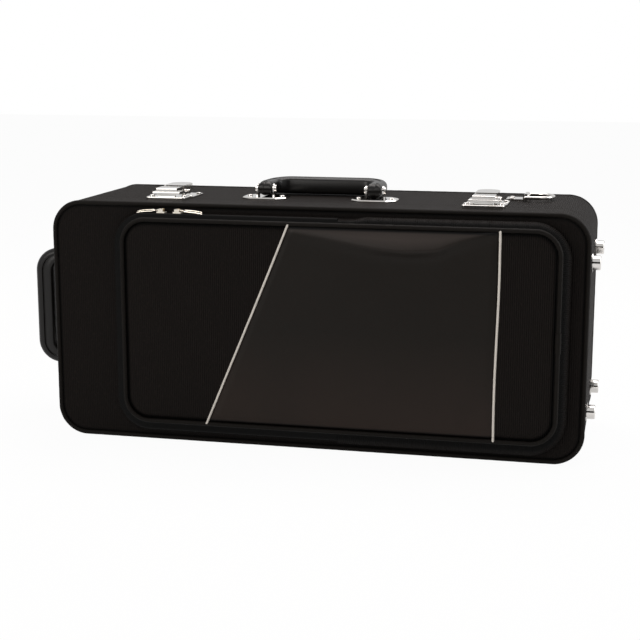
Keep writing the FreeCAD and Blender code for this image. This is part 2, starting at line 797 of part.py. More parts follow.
def gusset_loft(near, far, distance):
    wires = [outline_wire(inset(pocket_outline(depth), distance), y_front - depth) for depth in (near, far)]
    return Part.makeLoft(wires, True, True)


def gusset(near, far, proud):
    """A band of the gusset between two distances from the lid."""
    return gusset_loft(near, far, -proud).cut(gusset_loft(near - cut_overrun, far + cut_overrun, pocket_wall))


def left_of_flap(shape):
    return shape.common(box(-half_length, flap_left_side, face_y - pocket_depth, y_front, 0, case_height))


def right_of_flap(shape):
    return shape.common(box(flap_right_side, half_length, face_y - pocket_depth, y_front, 0, case_height))


keep("pocket_gusset_left", left_of_flap(gusset(0, zip_depth - zip_width, 0)))
keep("pocket_gusset_right", right_of_flap(gusset(0, piping_root, 0)))
keep("flap_gusset", left_of_flap(gusset(zip_depth + zip_width, piping_root, 0)))
keep("zip_teeth_lid", left_of_flap(gusset(zip_depth - zip_width, zip_depth - zip_gap / 2, zip_proud)))
keep("zip_teeth_flap", left_of_flap(gusset(zip_depth + zip_gap / 2, zip_depth + zip_width, zip_proud)))

face_piping = rounded_slab(pocket_face, face_y - pocket_piping_proud, y_front - piping_root, pocket_piping_round)
face_hole = slab(inset(pocket_face, pocket_piping), face_y - pocket_depth, y_front)
face_piping = face_piping.cut(face_hole)
keep("flap_piping", left_of_flap(face_piping))
keep("pocket_piping", right_of_flap(face_piping))

face_panel = slab(inset(pocket_face, pocket_piping), face_y, face_y + pocket_wall)
trim_panel = slab(inset(pocket_face, pocket_piping), face_y - trim_proud, face_y + pocket_wall)


def seam_strip(seam, left, right):
    """A prism along a seam, between two distances from its middle line."""
    bottom, top = [pocket_foot[0] + share * pocket_length for share in seam]
    return prism([(bottom + left, 0), (bottom + right, 0), (top + right, case_height),
                  (top + left, case_height)], face_y - pocket_depth, y_front)


trim_half = trim_width / 2
left_seam = (left_trim_bottom_share, left_trim_top_share)
right_seam = (right_trim_bottom_share, right_trim_top_share)
left_trim = seam_strip(left_seam, -trim_half, trim_half)
right_trim = seam_strip(right_seam, -trim_half, trim_half)
left_side = seam_strip(left_seam, -case_length, -trim_half)
right_side = seam_strip(right_seam, trim_half, case_length)
middle_panel = face_panel.cut(seam_strip(left_seam, -case_length, trim_half))
middle_panel = middle_panel.cut(seam_strip(right_seam, -trim_half, case_length))
keep("flap_ribbed_panel", face_panel.common(left_side))
keep("flap_light_trim", trim_panel.common(left_trim))
keep("flap_leather_panel", left_of_flap(middle_panel))
keep("pocket_leather_panel", right_of_flap(middle_panel))
keep("pocket_light_trim", trim_panel.common(right_trim))
keep("pocket_ribbed_panel", face_panel.common(right_side))

sleeve = rounded_slab(inset(pocket_face, -sleeve_wall), face_y - pocket_piping_proud - sleeve_wall,
                      y_front - piping_root, pocket_piping_round)
sleeve = sleeve.cut(rounded_slab(pocket_face, face_y - pocket_piping_proud, y_front - piping_root,
                                 pocket_piping_round))
sleeve_side = pocket_face[1] - pocket_piping
sleeve_bottom = middle_height + sleeve_rise - sleeve_length / 2
sleeve = sleeve.common(box(sleeve_side, half_length, face_y - pocket_depth, y_front,
                           sleeve_bottom, sleeve_bottom + sleeve_length))
keep("piping_sleeve", sleeve)

# Zip sliders on the top run of the zip, each with a pull that swings up
slider_y = y_front - zip_depth
zip_outline = pocket_outline(zip_depth)
first_slider = zip_outline[0] + zip_outline[4] + slider_lead
slider_places = {"left": first_slider, "right": first_slider + slider_spacing}
zip_top = pocket_outline(zip_depth - zip_width)[3] + zip_proud
gusset_top = pocket_outline(zip_depth - slider_width / 2)[3]
slider_low = max(zip_top, gusset_top) + seat_gap
slider_high = slider_low + slider_thickness
slider_axis_z = slider_high + slider_pin_height


def slider_body(x):
    """A wedge nosed plate with two cheeks that hold the pull's pin."""
    half_x = slider_length / 2
    half_y = slider_width / 2
    points = [(-half_x, -half_y + slider_nose), (-half_x + slider_nose, -half_y),
              (half_x - slider_nose, -half_y), (half_x, -half_y + slider_nose),
              (half_x, half_y - slider_nose), (half_x - slider_nose, half_y),
              (-half_x + slider_nose, half_y), (-half_x, half_y - slider_nose)]
    corners = [at(x + px, slider_y + py, slider_low) for px, py in points]
    corners.append(corners[0])
    pieces = [Part.Face(Part.makePolygon(corners)).extrude(at(0, 0, slider_thickness))]
    for side in (-1, 1):
        outer = side * half_y
        y0 = slider_y + min(outer, outer - side * slider_cheek_thickness)
        pieces.append(box(x - slider_cheek_length / 2, x + slider_cheek_length / 2, y0,
                          y0 + slider_cheek_thickness, slider_low, slider_axis_z + pull_eye_radius))
    pieces.append(middle_rod(slider_pin_radius, at(x, slider_y, slider_axis_z),
                             slider_width - slider_cheek_thickness, Y))
    return fused(pieces)


def slider_pull(x, side):
    """A flat tab with an eye on the slider's pin; side is the way it points."""
    eye_half = slider_width / 2 - slider_cheek_thickness - pull_gap
    eye = middle_rod(pull_eye_radius, at(x, slider_y, slider_axis_z), 2 * eye_half, Y)
    low = slider_axis_z - pull_thickness / 2
    neck_end = slider_length / 2 + pull_gap
    neck = box(min(x, x + side * neck_end), max(x, x + side * neck_end), slider_y - eye_half,
               slider_y + eye_half, low, low + pull_thickness)
    tab_start = x + side * neck_end
    tab_end = x + side * pull_length
    tab = box(min(tab_start, tab_end), max(tab_start, tab_end), slider_y - pull_width / 2,
              slider_y + pull_width / 2, low, low + pull_thickness)
    tab = rounded_edges(tab, pull_round, Z)
    bore = middle_rod(slider_pin_radius + running_clearance, at(x, slider_y, slider_axis_z), slider_width, Y)
    pull = fused([eye, neck, tab]).cut(bore)
    pull.rotate(at(x, slider_y, slider_axis_z), Y, side * pull_droop)
    return pull


for side_name, place in slider_places.items():
    keep("zip_slider_" + side_name, slider_body(place))
    keep("zip_pull_" + side_name, slider_pull(place, -1 if side_name == "left" else 1))

# The skins and boards are cut last, where the hinges and rivets go into them
keep("base_band_cover", cut_all(base_band, hinge_room + rivets_in["base"]))
keep("base_board", cut_all(base_board, hinge_room + rivets_in["base"]))
keep("base_piping", base_piping)
keep("base_back_cover", base_back)
keep("base_rim", base_rim)
keep("lid_band_cover", cut_all(lid_band, hinge_room + rivets_in["lid"]))
keep("lid_board", cut_all(lid_board, hinge_room + rivets_in["lid"]))
keep("lid_piping", lid_piping)
keep("lid_front_cover", lid_front)

for name, shapes in nodes.items():
    solids = [solid for shape in shapes for solid in shape.Solids]
    whole = solids[0] if len(solids) == 1 else Part.makeCompound(solids)
    whole.exportStep("parts/" + name + ".step")
    print(name, len(solids), round(whole.Volume), whole.isValid())
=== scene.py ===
"""A hard trumpet case in ribbed black cloth: its looks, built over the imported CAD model."""
import json
import math

import bmesh
import bpy
import numpy as np
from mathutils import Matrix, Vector, noise


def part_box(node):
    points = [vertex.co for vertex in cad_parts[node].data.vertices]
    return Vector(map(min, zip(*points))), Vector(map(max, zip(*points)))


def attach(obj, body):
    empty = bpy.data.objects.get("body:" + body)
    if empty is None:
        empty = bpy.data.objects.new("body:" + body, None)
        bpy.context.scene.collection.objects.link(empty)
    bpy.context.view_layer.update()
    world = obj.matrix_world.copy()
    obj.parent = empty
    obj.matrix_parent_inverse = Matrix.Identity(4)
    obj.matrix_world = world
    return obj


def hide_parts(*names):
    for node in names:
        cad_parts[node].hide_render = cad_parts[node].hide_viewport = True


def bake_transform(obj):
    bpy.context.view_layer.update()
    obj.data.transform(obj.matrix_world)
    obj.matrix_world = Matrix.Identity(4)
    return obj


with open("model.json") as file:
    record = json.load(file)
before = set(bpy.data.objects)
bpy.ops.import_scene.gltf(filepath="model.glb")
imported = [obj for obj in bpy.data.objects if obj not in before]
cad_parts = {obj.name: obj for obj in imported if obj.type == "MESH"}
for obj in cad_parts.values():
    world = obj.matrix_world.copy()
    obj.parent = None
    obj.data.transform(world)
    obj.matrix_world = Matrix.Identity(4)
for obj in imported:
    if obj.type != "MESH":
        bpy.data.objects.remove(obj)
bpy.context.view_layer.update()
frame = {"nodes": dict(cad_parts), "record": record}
scene = bpy.context.scene
scene.view_settings.view_transform = "Standard"

# ------------------------ Camera
# A long lens stands in front of the case, to its right and a little above
# the handle, so that the top and a sliver of the right end show.


def linked(name, data):
    """A new object that is in the scene."""
    made = bpy.data.objects.new(name, data)
    scene.collection.objects.link(made)
    return made


camera = linked("camera", bpy.data.cameras.new("camera"))
camera.data.lens = 78.3
camera.data.sensor_width = 36
camera.location = (0.30998, -1.40091, 0.40132)
camera.rotation_euler = [math.radians(turn) for turn in (78.723, -0.036, 12.875)]
scene.camera = camera

# ------------------------ Studio
# A pale floor and a white room, with three softboxes. The room is white to
# the camera, a little greyer in polished metal, and much dimmer as a light.


def stage_plane(name, size, place):
    mesh = bpy.data.meshes.new(name)
    half = size / 2
    corners = [(-half, -half, 0), (half, -half, 0), (half, half, 0), (-half, half, 0)]
    mesh.from_pydata(corners, [], [(0, 1, 2, 3)])
    plane = linked(name, mesh)
    plane.location = place
    return plane


def new_material(name):
    material = bpy.data.materials.new(name)
    material.use_nodes = True
    tree = material.node_tree
    return material, tree, tree.nodes["Principled BSDF"]


def add(tree, kind, **settings):
    node = tree.nodes.new(kind)
    for setting, value in settings.items():
        setattr(node, setting, value)
    return node


def feed(tree, value, socket):
    """Links an output to this socket, or sets a plain value on it."""
    if isinstance(value, bpy.types.NodeSocket):
        tree.links.new(value, socket)
    else:
        socket.default_value = value


def maths(tree, operation, *values, clamp=False):
    """A Math node; each value is a number or a socket."""
    node = add(tree, "ShaderNodeMath", operation=operation, use_clamp=clamp)
    for number, value in enumerate(values):
        feed(tree, value, node.inputs[number])
    return node.outputs[0]


def set_sockets(node, **values):
    for name, value in values.items():
        node.inputs[name.replace("_", " ")].default_value = value


def link_all(tree, node, **values):
    for name, value in values.items():
        tree.links.new(value, node.inputs[name.replace("_", " ")])


floor_size, floor_below = 12, 0.0006
floor_share, floor_in_metal = 0.96, 0.5
floor = stage_plane("floor", floor_size, (0, 0, -floor_below))
paper, tree, shader = new_material("pale_paper")
set_sockets(shader, Base_Color=(0.86, 0.86, 0.86, 1), Roughness=0.9, Specular_IOR_Level=0.0)
glow = add(tree, "ShaderNodeEmission")
mix = add(tree, "ShaderNodeMixShader")
path = add(tree, "ShaderNodeLightPath")
in_metal = maths(tree, "MULTIPLY", path.outputs["Is Glossy Ray"], floor_in_metal)
seen = maths(tree, "MAXIMUM", path.outputs["Is Camera Ray"], in_metal)
tree.links.new(maths(tree, "MULTIPLY", seen, floor_share), mix.inputs[0])
tree.links.new(shader.outputs[0], mix.inputs[1])
tree.links.new(glow.outputs[0], mix.inputs[2])
tree.links.new(mix.outputs[0], tree.nodes["Material Output"].inputs[0])
floor.data.materials.append(paper)

room_light, room_in_metal = 0.35, 0.55
world = bpy.data.worlds.new("white_room")
world.use_nodes = True
tree = world.node_tree
path = add(tree, "ShaderNodeLightPath")
seen = maths(tree, "MAXIMUM", path.outputs["Is Camera Ray"], path.outputs["Is Transmission Ray"])
level = add(tree, "ShaderNodeMapRange")
set_sockets(level, To_Min=room_light, To_Max=1.0)
link_all(tree, level, Value=maths(tree, "MULTIPLY_ADD", path.outputs["Is Glossy Ray"], room_in_metal, seen))
link_all(tree, tree.nodes["Background"], Strength=level.outputs["Result"])
set_sockets(tree.nodes["Background"], Color=(1, 1, 1, 1))
scene.world = world


def softbox(name, place, target, size, power, colour=(1, 1, 1)):
    lamp = bpy.data.lights.new(name, "AREA")
    lamp.shape = "RECTANGLE"
    lamp.size, lamp.size_y = size
    lamp.energy = power
    lamp.color = colour
    box = linked(name, lamp)
    box.location = place
    box.rotation_euler = (Vector(target) - Vector(place)).to_track_quat("-Z", "Y").to_euler()


softbox("softbox_above", (0.1, 0.35, 1.5), (0, 0, 0.1), (1.6, 1.0), 19, (1.0, 0.94, 0.92))
softbox("softbox_front", (-0.9, -1.7, 0.9), (0, 0, 0.12), (1.0, 1.0), 11, (1.0, 0.96, 0.92))
softbox("softbox_right", (1.5, 0.3, 0.6), (0.2, 0, 0.12), (0.7, 1.2), 9)

# A dark curtain hangs behind the camera. Only polished metal sees it.
curtain = stage_plane("dark_curtain", 3.2, (0.4, -2.9, 0.75))
curtain.rotation_euler = (math.pi / 2, 0, 0)
curtain.scale = (1.0, 0.42, 1.0)
curtain.visible_camera = curtain.visible_diffuse = curtain.visible_shadow = False
dark_felt, tree, shader = new_material("dark_felt")
set_sockets(shader, Base_Color=(0.02, 0.017, 0.015, 1), Roughness=1.0, Specular_IOR_Level=0.0)
curtain.data.materials.append(dark_felt)

# ------------------------ Ribbed cloth
# The case is covered in black woven nylon with raised ribs 2 mm apart: a
# cord in each rib, and fine threads that cross it.
RIB_PITCH = 0.0020
# Each rib's outline: how far across the rib, and how high as a share of rib_rise.
RIB_STEPS = ((0.0, 0.0), (0.13, 0.72), (0.36, 1.0), (0.64, 1.0), (0.87, 0.72))
rib_rise = 0.00045


def new_group(name, inputs):
    """A shader node group that gives a surface's colour, fine relief and roughness, and its two end nodes."""
    group = bpy.data.node_groups.new(name, "ShaderNodeTree")
    for socket_name, value in inputs.items():
        kind = "Vector" if value is None else "Color" if isinstance(value, tuple) else "Float"
        socket = group.interface.new_socket(socket_name, in_out="INPUT", socket_type="NodeSocket" + kind)
        if value is not None:
            socket.default_value = value
    for socket_name, kind in (("Colour", "Color"), ("Height", "Float"), ("Roughness", "Float")):
        group.interface.new_socket(socket_name, in_out="OUTPUT", socket_type="NodeSocket" + kind)
    return group, group.nodes.new("NodeGroupInput"), group.nodes.new("NodeGroupOutput")


def place_group(tree, group, **inputs):
    node = add(tree, "ShaderNodeGroup", node_tree=group)
    for name, value in inputs.items():
        feed(tree, value, node.inputs[name.replace("_", " ")])
    return node


def mixed(tree, factor, first, second):
    """A colour between two colours."""
    node = add(tree, "ShaderNodeMix", data_type="RGBA")
    for number, value in ((0, factor), (6, first), (7, second)):
        feed(tree, value, node.inputs[number])
    return node.outputs[2]


def noise_at(tree, place, scale, detail, distortion=0.0, dimensions="3D"):
    node = add(tree, "ShaderNodeTexNoise", noise_dimensions=dimensions)
    set_sockets(node, Detail=detail, Distortion=distortion)
    feed(tree, scale, node.inputs["Scale"])
    link_all(tree, node, Vector=place)
    return node.outputs[0]


def bump(tree, shader, height, strength, distance):
    node = add(tree, "ShaderNodeBump")
    set_sockets(node, Strength=strength, Distance=distance)
    link_all(tree, node, Height=height)
    link_all(tree, shader, Normal=node.outputs[0])


def surface_from(tree, shader, effect, strength, distance):
    """Gives the surface an effect group's colour, roughness and fine relief."""
    link_all(tree, shader, Base_Color=effect.outputs["Colour"], Roughness=effect.outputs["Roughness"])
    bump(tree, shader, effect.outputs["Height"], strength, distance)


black = (0, 0, 0, 1)
thread_weave, ends_in, ends_out = new_group("thread_weave", {
    "Cloth": None, "Rib Pitch": 0.002, "Thread Pitch": 0.0005, "Valley": black, "Crest": black,
    "Fleck": black, "Seam": 0.0})
tree = thread_weave
split = add(tree, "ShaderNodeSeparateXYZ")
tree.links.new(ends_in.outputs["Cloth"], split.inputs[0])
across = maths(tree, "DIVIDE", split.outputs[0], ends_in.outputs["Rib Pitch"])
along = maths(tree, "DIVIDE", split.outputs[1], ends_in.outputs["Thread Pitch"])
rib = maths(tree, "SINE", maths(tree, "MULTIPLY", maths(tree, "FRACT", across), math.pi))
stagger = maths(tree, "ADD", along, maths(tree, "MULTIPLY", maths(tree, "FLOOR", across), 0.5))
thread = maths(tree, "ABSOLUTE", maths(tree, "SINE", maths(tree, "MULTIPLY", stagger, math.pi)))
height = maths(tree, "MULTIPLY_ADD", thread, 0.25, maths(tree, "MULTIPLY", rib, 0.75))
stretch = add(tree, "ShaderNodeCombineXYZ")
tree.links.new(across, stretch.inputs[0])
tree.links.new(maths(tree, "MULTIPLY", along, 0.12), stretch.inputs[1])
slub = noise_at(tree, stretch.outputs[0], 1.3, 3.0, dimensions="2D")
# Low in the weave, between ribs and threads, the colour darkens to the valley colour: painted shade.
body = mixed(tree, height, ends_in.outputs["Valley"], ends_in.outputs["Crest"])
fleck = maths(tree, "MULTIPLY", maths(tree, "SUBTRACT", slub, 0.5), 2.2, clamp=True)
woven = mixed(tree, fleck, body, ends_in.outputs["Fleck"])
# In seams the colour goes near black: painted shade, set by the seam input.
link_all(tree, ends_out, Colour=mixed(tree, ends_in.outputs["Seam"], woven, (0.0006, 0.0005, 0.0004, 1)),
         Height=height, Roughness=maths(tree, "MULTIPLY_ADD", slub, 0.25, 0.5))


def cloth_material(name, valley, crest, fleck, relief, specular, rib=RIB_PITCH, thread=0.00055):
    material, tree, shader = new_material(name)
    cloth = add(tree, "ShaderNodeUVMap", uv_map="cloth")
    # The seam attribute says where the cloth gets painted shade.
    seam = add(tree, "ShaderNodeAttribute", attribute_name="seam")
    weave = place_group(tree, thread_weave, Cloth=cloth.outputs[0], Rib_Pitch=rib, Thread_Pitch=thread,
                        Valley=valley, Crest=crest, Fleck=fleck, Seam=seam.outputs["Fac"])
    set_sockets(shader, Specular_IOR_Level=specular)
    surface_from(tree, shader, weave, relief, 0.0003)
    return material


ribbed_cloth = cloth_material("ribbed_nylon", (0.0022, 0.0017, 0.0015, 1), (0.0082, 0.0062, 0.0052, 1),
                              (0.0145, 0.0108, 0.0095, 1), 0.6, 0.08)


def stations(loop, spacing):
    """Places round a rounded rectangle: a whole number is the start of a side or corner."""
    places = []
    for number, length in enumerate(side_lengths(loop)):
        count = max(1, round(length / spacing))
        places += [number + step / count for step in range(count)]
    return np.array(places)


def side_lengths(loop):
    x0, x1, z0, z1, radius = loop
    bend = math.pi * radius / 2
    width, height = x1 - x0 - 2 * radius, z1 - z0 - 2 * radius
    return [width, bend, height, bend, width, bend, height, bend]


def around(loop, places):
    """Points and outward directions in x and z, counted from the bottom's left end round by the right."""
    x0, x1, z0, z1, radius = loop
    middles = [(x1 - radius, z0 + radius), (x1 - radius, z1 - radius), (x0 + radius, z1 - radius),
               (x0 + radius, z0 + radius)]
    points = []
    for place in places:
        number = int(place) % 8
        share = place - int(place)
        corner = number // 2
        angle = math.radians(90 * corner - 90 + (90 * share if number % 2 else 0))
        outward = np.array([math.cos(angle), math.sin(angle)])
        if number % 2:
            spot = np.array(middles[corner]) + radius * outward
        else:
            start = np.array(middles[corner - 1]) + radius * outward
            end = np.array(middles[corner]) + radius * outward
            spot = start + share * (end - start)
        points.append(np.concatenate([spot, outward]))
    return np.array(points)


def distances(loop, places):
    """How far along the loop each place is."""
    lengths = np.array(side_lengths(loop))
    starts = np.concatenate([[0], np.cumsum(lengths)])
    side = places.astype(int) % 8
    return starts[side] + (places - places.astype(int)) * lengths[side]


def ribbed_stations(loop):
    """Stations for a cloth whose ribs cross the loop, and the rib's height at each."""
    places, heights = [], []
    for number, length in enumerate(side_lengths(loop)):
        count = max(1, round(length / RIB_PITCH))
        for rib_number in range(count):
            for share, rise in RIB_STEPS:
                places.append(number + (rib_number + share) / count)
                heights.append(rise)
    return np.array(places), np.array(heights)


def skin(name, rows, cloth, material, closed=False):
    """A smooth mesh from rows of points; cloth is each point's place on the flat cloth, in metres."""
    rows = np.asarray(rows, float)
    cloth = np.asarray(cloth, float)
    count, columns = rows.shape[:2]
    reach = columns if closed else columns - 1
    first = np.arange(count - 1)[:, None] * columns + np.arange(reach)[None, :]
    second = np.arange(count - 1)[:, None] * columns + (np.arange(reach)[None, :] + 1) % columns
    faces = np.stack([first, second, second + columns, first + columns], -1).reshape(-1, 4)
    mesh = bpy.data.meshes.new(name)
    mesh.from_pydata(rows.reshape(-1, 3).tolist(), [], faces.tolist())
    step = np.arange(reach)
    low, high = cloth[:-1], cloth[1:]
    if closed:
        wrap_low, wrap_high = low[:, :1].copy(), high[:, :1].copy()
        wrap_low[..., 0] = low[:, -1:, 0] + (low[:, -1:, 0] - low[:, -2:-1, 0])
        wrap_high[..., 0] = high[:, -1:, 0] + (high[:, -1:, 0] - high[:, -2:-1, 0])
        low, high = np.concatenate([low, wrap_low], 1), np.concatenate([high, wrap_high], 1)
    corners = np.stack([low[:, step], low[:, step + 1], high[:, step + 1], high[:, step]], 2)
    layer = mesh.uv_layers.new(name="cloth")
    layer.data.foreach_set("uv", corners.reshape(-1).astype(np.float32))
    mesh.shade_smooth()
    mesh.materials.append(material)
    return linked(name, mesh)


def paint_seam_shade(piece, depths):
    """Marks how far each point lies down in a seam, where the cloth gets painted shade."""
    layer = piece.data.attributes.new("seam", "FLOAT", "POINT")
    layer.data.foreach_set("value", np.clip(np.asarray(depths, float).reshape(-1), 0, 1).astype(np.float32))


def edge_distance(loop, x, z):
    """How far inside a rounded rectangle each place is."""
    x0, x1, z0, z1, radius = loop
    across = np.maximum(x0 + radius - x, x - (x1 - radius))
    up = np.maximum(z0 + radius - z, z - (z1 - radius))
    return radius - np.where((across > 0) & (up > 0), np.hypot(across, up), np.maximum(across, up))


def grid_cloth(u, v):
    """Flat places for rows v and columns u."""
    u, v = np.asarray(u, float), np.asarray(v, float)
    return np.stack(np.broadcast_arrays(u[None, :], v[:, None]), -1)


def stands_for(piece, body, slot, *nodes):
    """The piece rides this body and takes the place of these CAD nodes, which it hides. The slot is not used.
    """
    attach(piece, body)
    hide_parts(*nodes)


# ------------------------ Covers of the two shells
# Each shell's edge is covered by one long strip of the ribbed cloth with its
# ribs across the edge, turned in at the seam. The two large faces have
# panels of the same cloth with upright ribs.
case_loop = (-0.270, 0.270, 0.0, 0.244, 0.030)
seam_y = -0.0405
hinge_x, hinge_half, hinge_reach, hinge_height = 0.150, 0.0303, 0.0203, 0.0035
bevel_rise, bevel_slope = 0.0029, math.tan(math.radians(28))
turn_in_gap, turn_in_depth = 0.0009, 0.0060


def edge_strip(name, depths, insets, lip_depth):
    """The cloth round one shell's edge, from the piping to the seam, where it turns in."""
    places, rise = ribbed_stations(case_loop)
    ring = around(case_loop, places)
    run = distances(case_loop, places)
    turned_in = [(lip_depth, turn_in_gap), (lip_depth, turn_in_depth)]
    rows, v = [], []
    for depth, inset in list(zip(depths, insets)) + turned_in:
        bevel = np.clip(bevel_rise - abs(depth - seam_y) * bevel_slope, 0, None) * np.clip(-ring[:, 3], 0, 1)
        inward = inset + rib_rise * (1 - rise) + bevel
        spot = ring[:, :2] - ring[:, 2:] * inward[:, None]
        rows.append(np.stack([spot[:, 0], np.full(len(run), depth), spot[:, 1]], -1))
        v.append(depth)
    v[-1] = v[-2] + turn_in_depth
    piece = skin(name, rows, grid_cloth(run, v), ribbed_cloth, closed=True)
    mesh = bmesh.new()
    mesh.from_mesh(piece.data)
    at_hinges = []
    for face in mesh.faces:
        middle = face.calc_center_median()
        if (abs(abs(middle.x) - hinge_x) < hinge_half and abs(middle.y - seam_y) < hinge_reach
                and middle.z < hinge_height):
            at_hinges.append(face)
    bmesh.ops.delete(mesh, geom=at_hinges, context="FACES")
    mesh.to_mesh(piece.data)
    mesh.free()
    return piece


# At both ends of the strip the cloth dips under the piping and into the seam.
at_piping, at_seam = [0.0010, 0.0003], [0.00004, 0.0002]
lid_depths = [-0.0818, -0.0810, -0.078, -0.072, -0.066, -0.0609, -0.057, -0.052, -0.0475, -0.0445, -0.0420,
              -0.0410, -0.04066]
lid_strip = edge_strip("lid_edge_cloth", lid_depths, at_piping + [0] * 9 + at_seam, -0.04062)
stands_for(lid_strip, "lid", "ribbed_fabric", "lid_band_cover")

base_depths = [0.0818, 0.0810, 0.078, 0.070, 0.055, 0.040, 0.025, 0.010, -0.005, -0.0201, -0.024, -0.029,
               -0.0335, -0.0365, -0.0390, -0.0400, -0.04034]
base_strip = edge_strip("base_edge_cloth", base_depths, at_piping + [0] * 13 + at_seam, -0.04038)
stands_for(base_strip, "base", "ribbed_fabric", "base_band_cover")


def upright_ribs(left, right):
    """Columns for a panel with upright ribs, and the rib's height at each."""
    count = round((right - left) / RIB_PITCH)
    columns = [(left + (number + share) * (right - left) / count, rise)
               for number in range(count) for share, rise in RIB_STEPS]
    return np.array([x for x, _ in columns]), np.array([rise for _, rise in columns])


def loop_limits(loop, x):
    """The lowest and highest z of a rounded rectangle at each x."""
    x0, x1, z0, z1, radius = loop
    into = np.clip(np.maximum(x0 + radius - x, x - (x1 - radius)), 0, radius)
    drop = radius - np.sqrt(np.maximum(radius ** 2 - into ** 2, 0))
    return z0 + drop, z1 - drop


def near_edges(low_steps, high_steps):
    """Rows up a panel: wide steps in the middle, and these narrow ones along its two edges."""
    return np.concatenate([low_steps, np.linspace(0.1, 0.9, 17), high_steps])


face_rows = near_edges([0, 0.004, 0.009, 0.014, 0.019, 0.024, 0.03, 0.06],
                       [0.94, 0.97, 0.976, 0.981, 0.986, 0.991, 0.996, 1])


tuck_depth, tuck_start, tuck_width = 0.0011, 0.0012, 0.0040


def face_panel(name, loop, depth, outward, wave):
    """A cover glued over a large face, a little uneven, and tucked in under the piping at its edge."""
    x, rise = upright_ribs(loop[0], loop[1])
    low, high = loop_limits(loop, x)
    rows, cloth, seam_shade = [], [], []
    for share in face_rows:
        z = low + share * (high - low)
        swell = wave * np.array([noise.noise((a * 9, depth * 50, b * 9)) for a, b in zip(x, z)])
        edge = edge_distance(loop, x, z)
        # Near its edge, under the piping, the cover gets painted shade.
        seam_shade.append(1 - (edge - 0.0018) / 0.0022)
        swell = swell * np.clip(edge / 0.02, 0, 1)
        tuck = tuck_depth * (1 - np.clip((edge - tuck_start) / tuck_width, 0, 1)) ** 2
        y = depth + outward * (swell - tuck - rib_rise * (1 - rise) + 0.0002)
        rows.append(np.stack([x, y, z], -1))
        cloth.append(np.stack([x, z], -1))
    piece = skin(name, rows, cloth, ribbed_cloth)
    paint_seam_shade(piece, seam_shade)
    return piece


large_face = (-0.2672, 0.2672, 0.0028, 0.2412, 0.0272)
case_half_depth = 0.0845
lid_face = face_panel("lid_face_cloth", large_face, -case_half_depth, -1, 0.0004)
stands_for(lid_face, "lid", "ribbed_fabric", "lid_front_cover")
back_face = face_panel("base_back_cloth", large_face, case_half_depth, 1, 0.0006)
stands_for(back_face, "base", "ribbed_fabric", "base_back_cover")

# ------------------------ Edge piping
# A welt cord in plain black cloth is sewn between the edge strip and the
# large face, all round both shells.
piping_cloth = cloth_material("welt_cloth", (0.0030, 0.0025, 0.0020, 1), (0.0078, 0.0064, 0.0052, 1),
                              (0.0125, 0.0103, 0.0088, 1), 0.25, 0.10, 0.0006, 0.0005)


WELT_SIDES = 14


def welt(name, centres, normals, radius, material, closed=True, wrinkle=0.00012):
    """A round cord in a cloth cover along a line; normals are one side direction for each point."""
    ahead = np.roll(centres, -1, 0) - np.roll(centres, 1, 0)
    if not closed:
        ahead[0], ahead[-1] = centres[1] - centres[0], centres[-1] - centres[-2]
    ahead /= np.linalg.norm(ahead, axis=1)[:, None]
    other = np.cross(ahead, normals)
    run = np.concatenate([[0], np.cumsum(np.linalg.norm(np.diff(centres, axis=0), axis=1))])
    rows, v = [], []
    for step in range(WELT_SIDES + 1):
        angle = 2 * math.pi * step / WELT_SIDES
        a, b = math.cos(angle), math.sin(angle)
        size = np.array([radius + wrinkle * noise.noise((d * 160, a * 2, b * 2)) for d in run])
        rows.append(centres + normals * (size * a)[:, None] + other * (size * b)[:, None])
        v.append(radius * angle)
    return skin(name, rows, grid_cloth(run, v), material, closed=closed)


def loop_welt(name, loop, inset, depth, radius, **settings):
    ring = around(loop, stations(loop, 0.002))
    centres = np.stack([ring[:, 0] - ring[:, 2] * inset, np.full(len(ring), depth),
                        ring[:, 1] - ring[:, 3] * inset], -1)
    normals = np.stack([ring[:, 2], np.zeros(len(ring)), ring[:, 3]], -1)
    return welt(name, centres, normals, radius, piping_cloth, **settings)


welt_inset, welt_y, welt_radius = 0.0017, 0.0837, 0.0023
lid_welt = loop_welt("lid_welt", case_loop, welt_inset, -welt_y, welt_radius)
stands_for(lid_welt, "lid", "dark_piping", "lid_piping")
base_welt = loop_welt("base_welt", case_loop, welt_inset, welt_y, welt_radius)
stands_for(base_welt, "base", "dark_piping", "base_piping")

# ------------------------ Pocket gusset and zip
# The pocket stands 22 mm proud of the lid on a tapered gusset. A zip runs
# round its left half, close to the lid; right of it the gusset is one piece.
pocket_foot = np.array([-0.206, 0.252, 0.007, 0.2348, 0.036])
pocket_rim = np.array([-0.189, 0.244, 0.024, 0.230, 0.025])
pocket_depth = 0.022
lid_y = -case_half_depth
face_y = lid_y - pocket_depth
fold_x = 0.02895
zip_depth = 0.006
pressed_growth = 0.012


def pocket_loop(depth):
    return tuple(pocket_foot + depth / pocket_depth * (pocket_rim - pocket_foot))


def station_at(loop, x, top):
    """The place on the loop's bottom or top run with this x."""
    x0, x1, z0, z1, radius = loop
    share = (x - x0 - radius) / (x1 - x0 - 2 * radius)
    return 5 - share if top else share


fold_top = station_at(pocket_foot, fold_x, True)
fold_bottom = station_at(pocket_foot, fold_x, False)


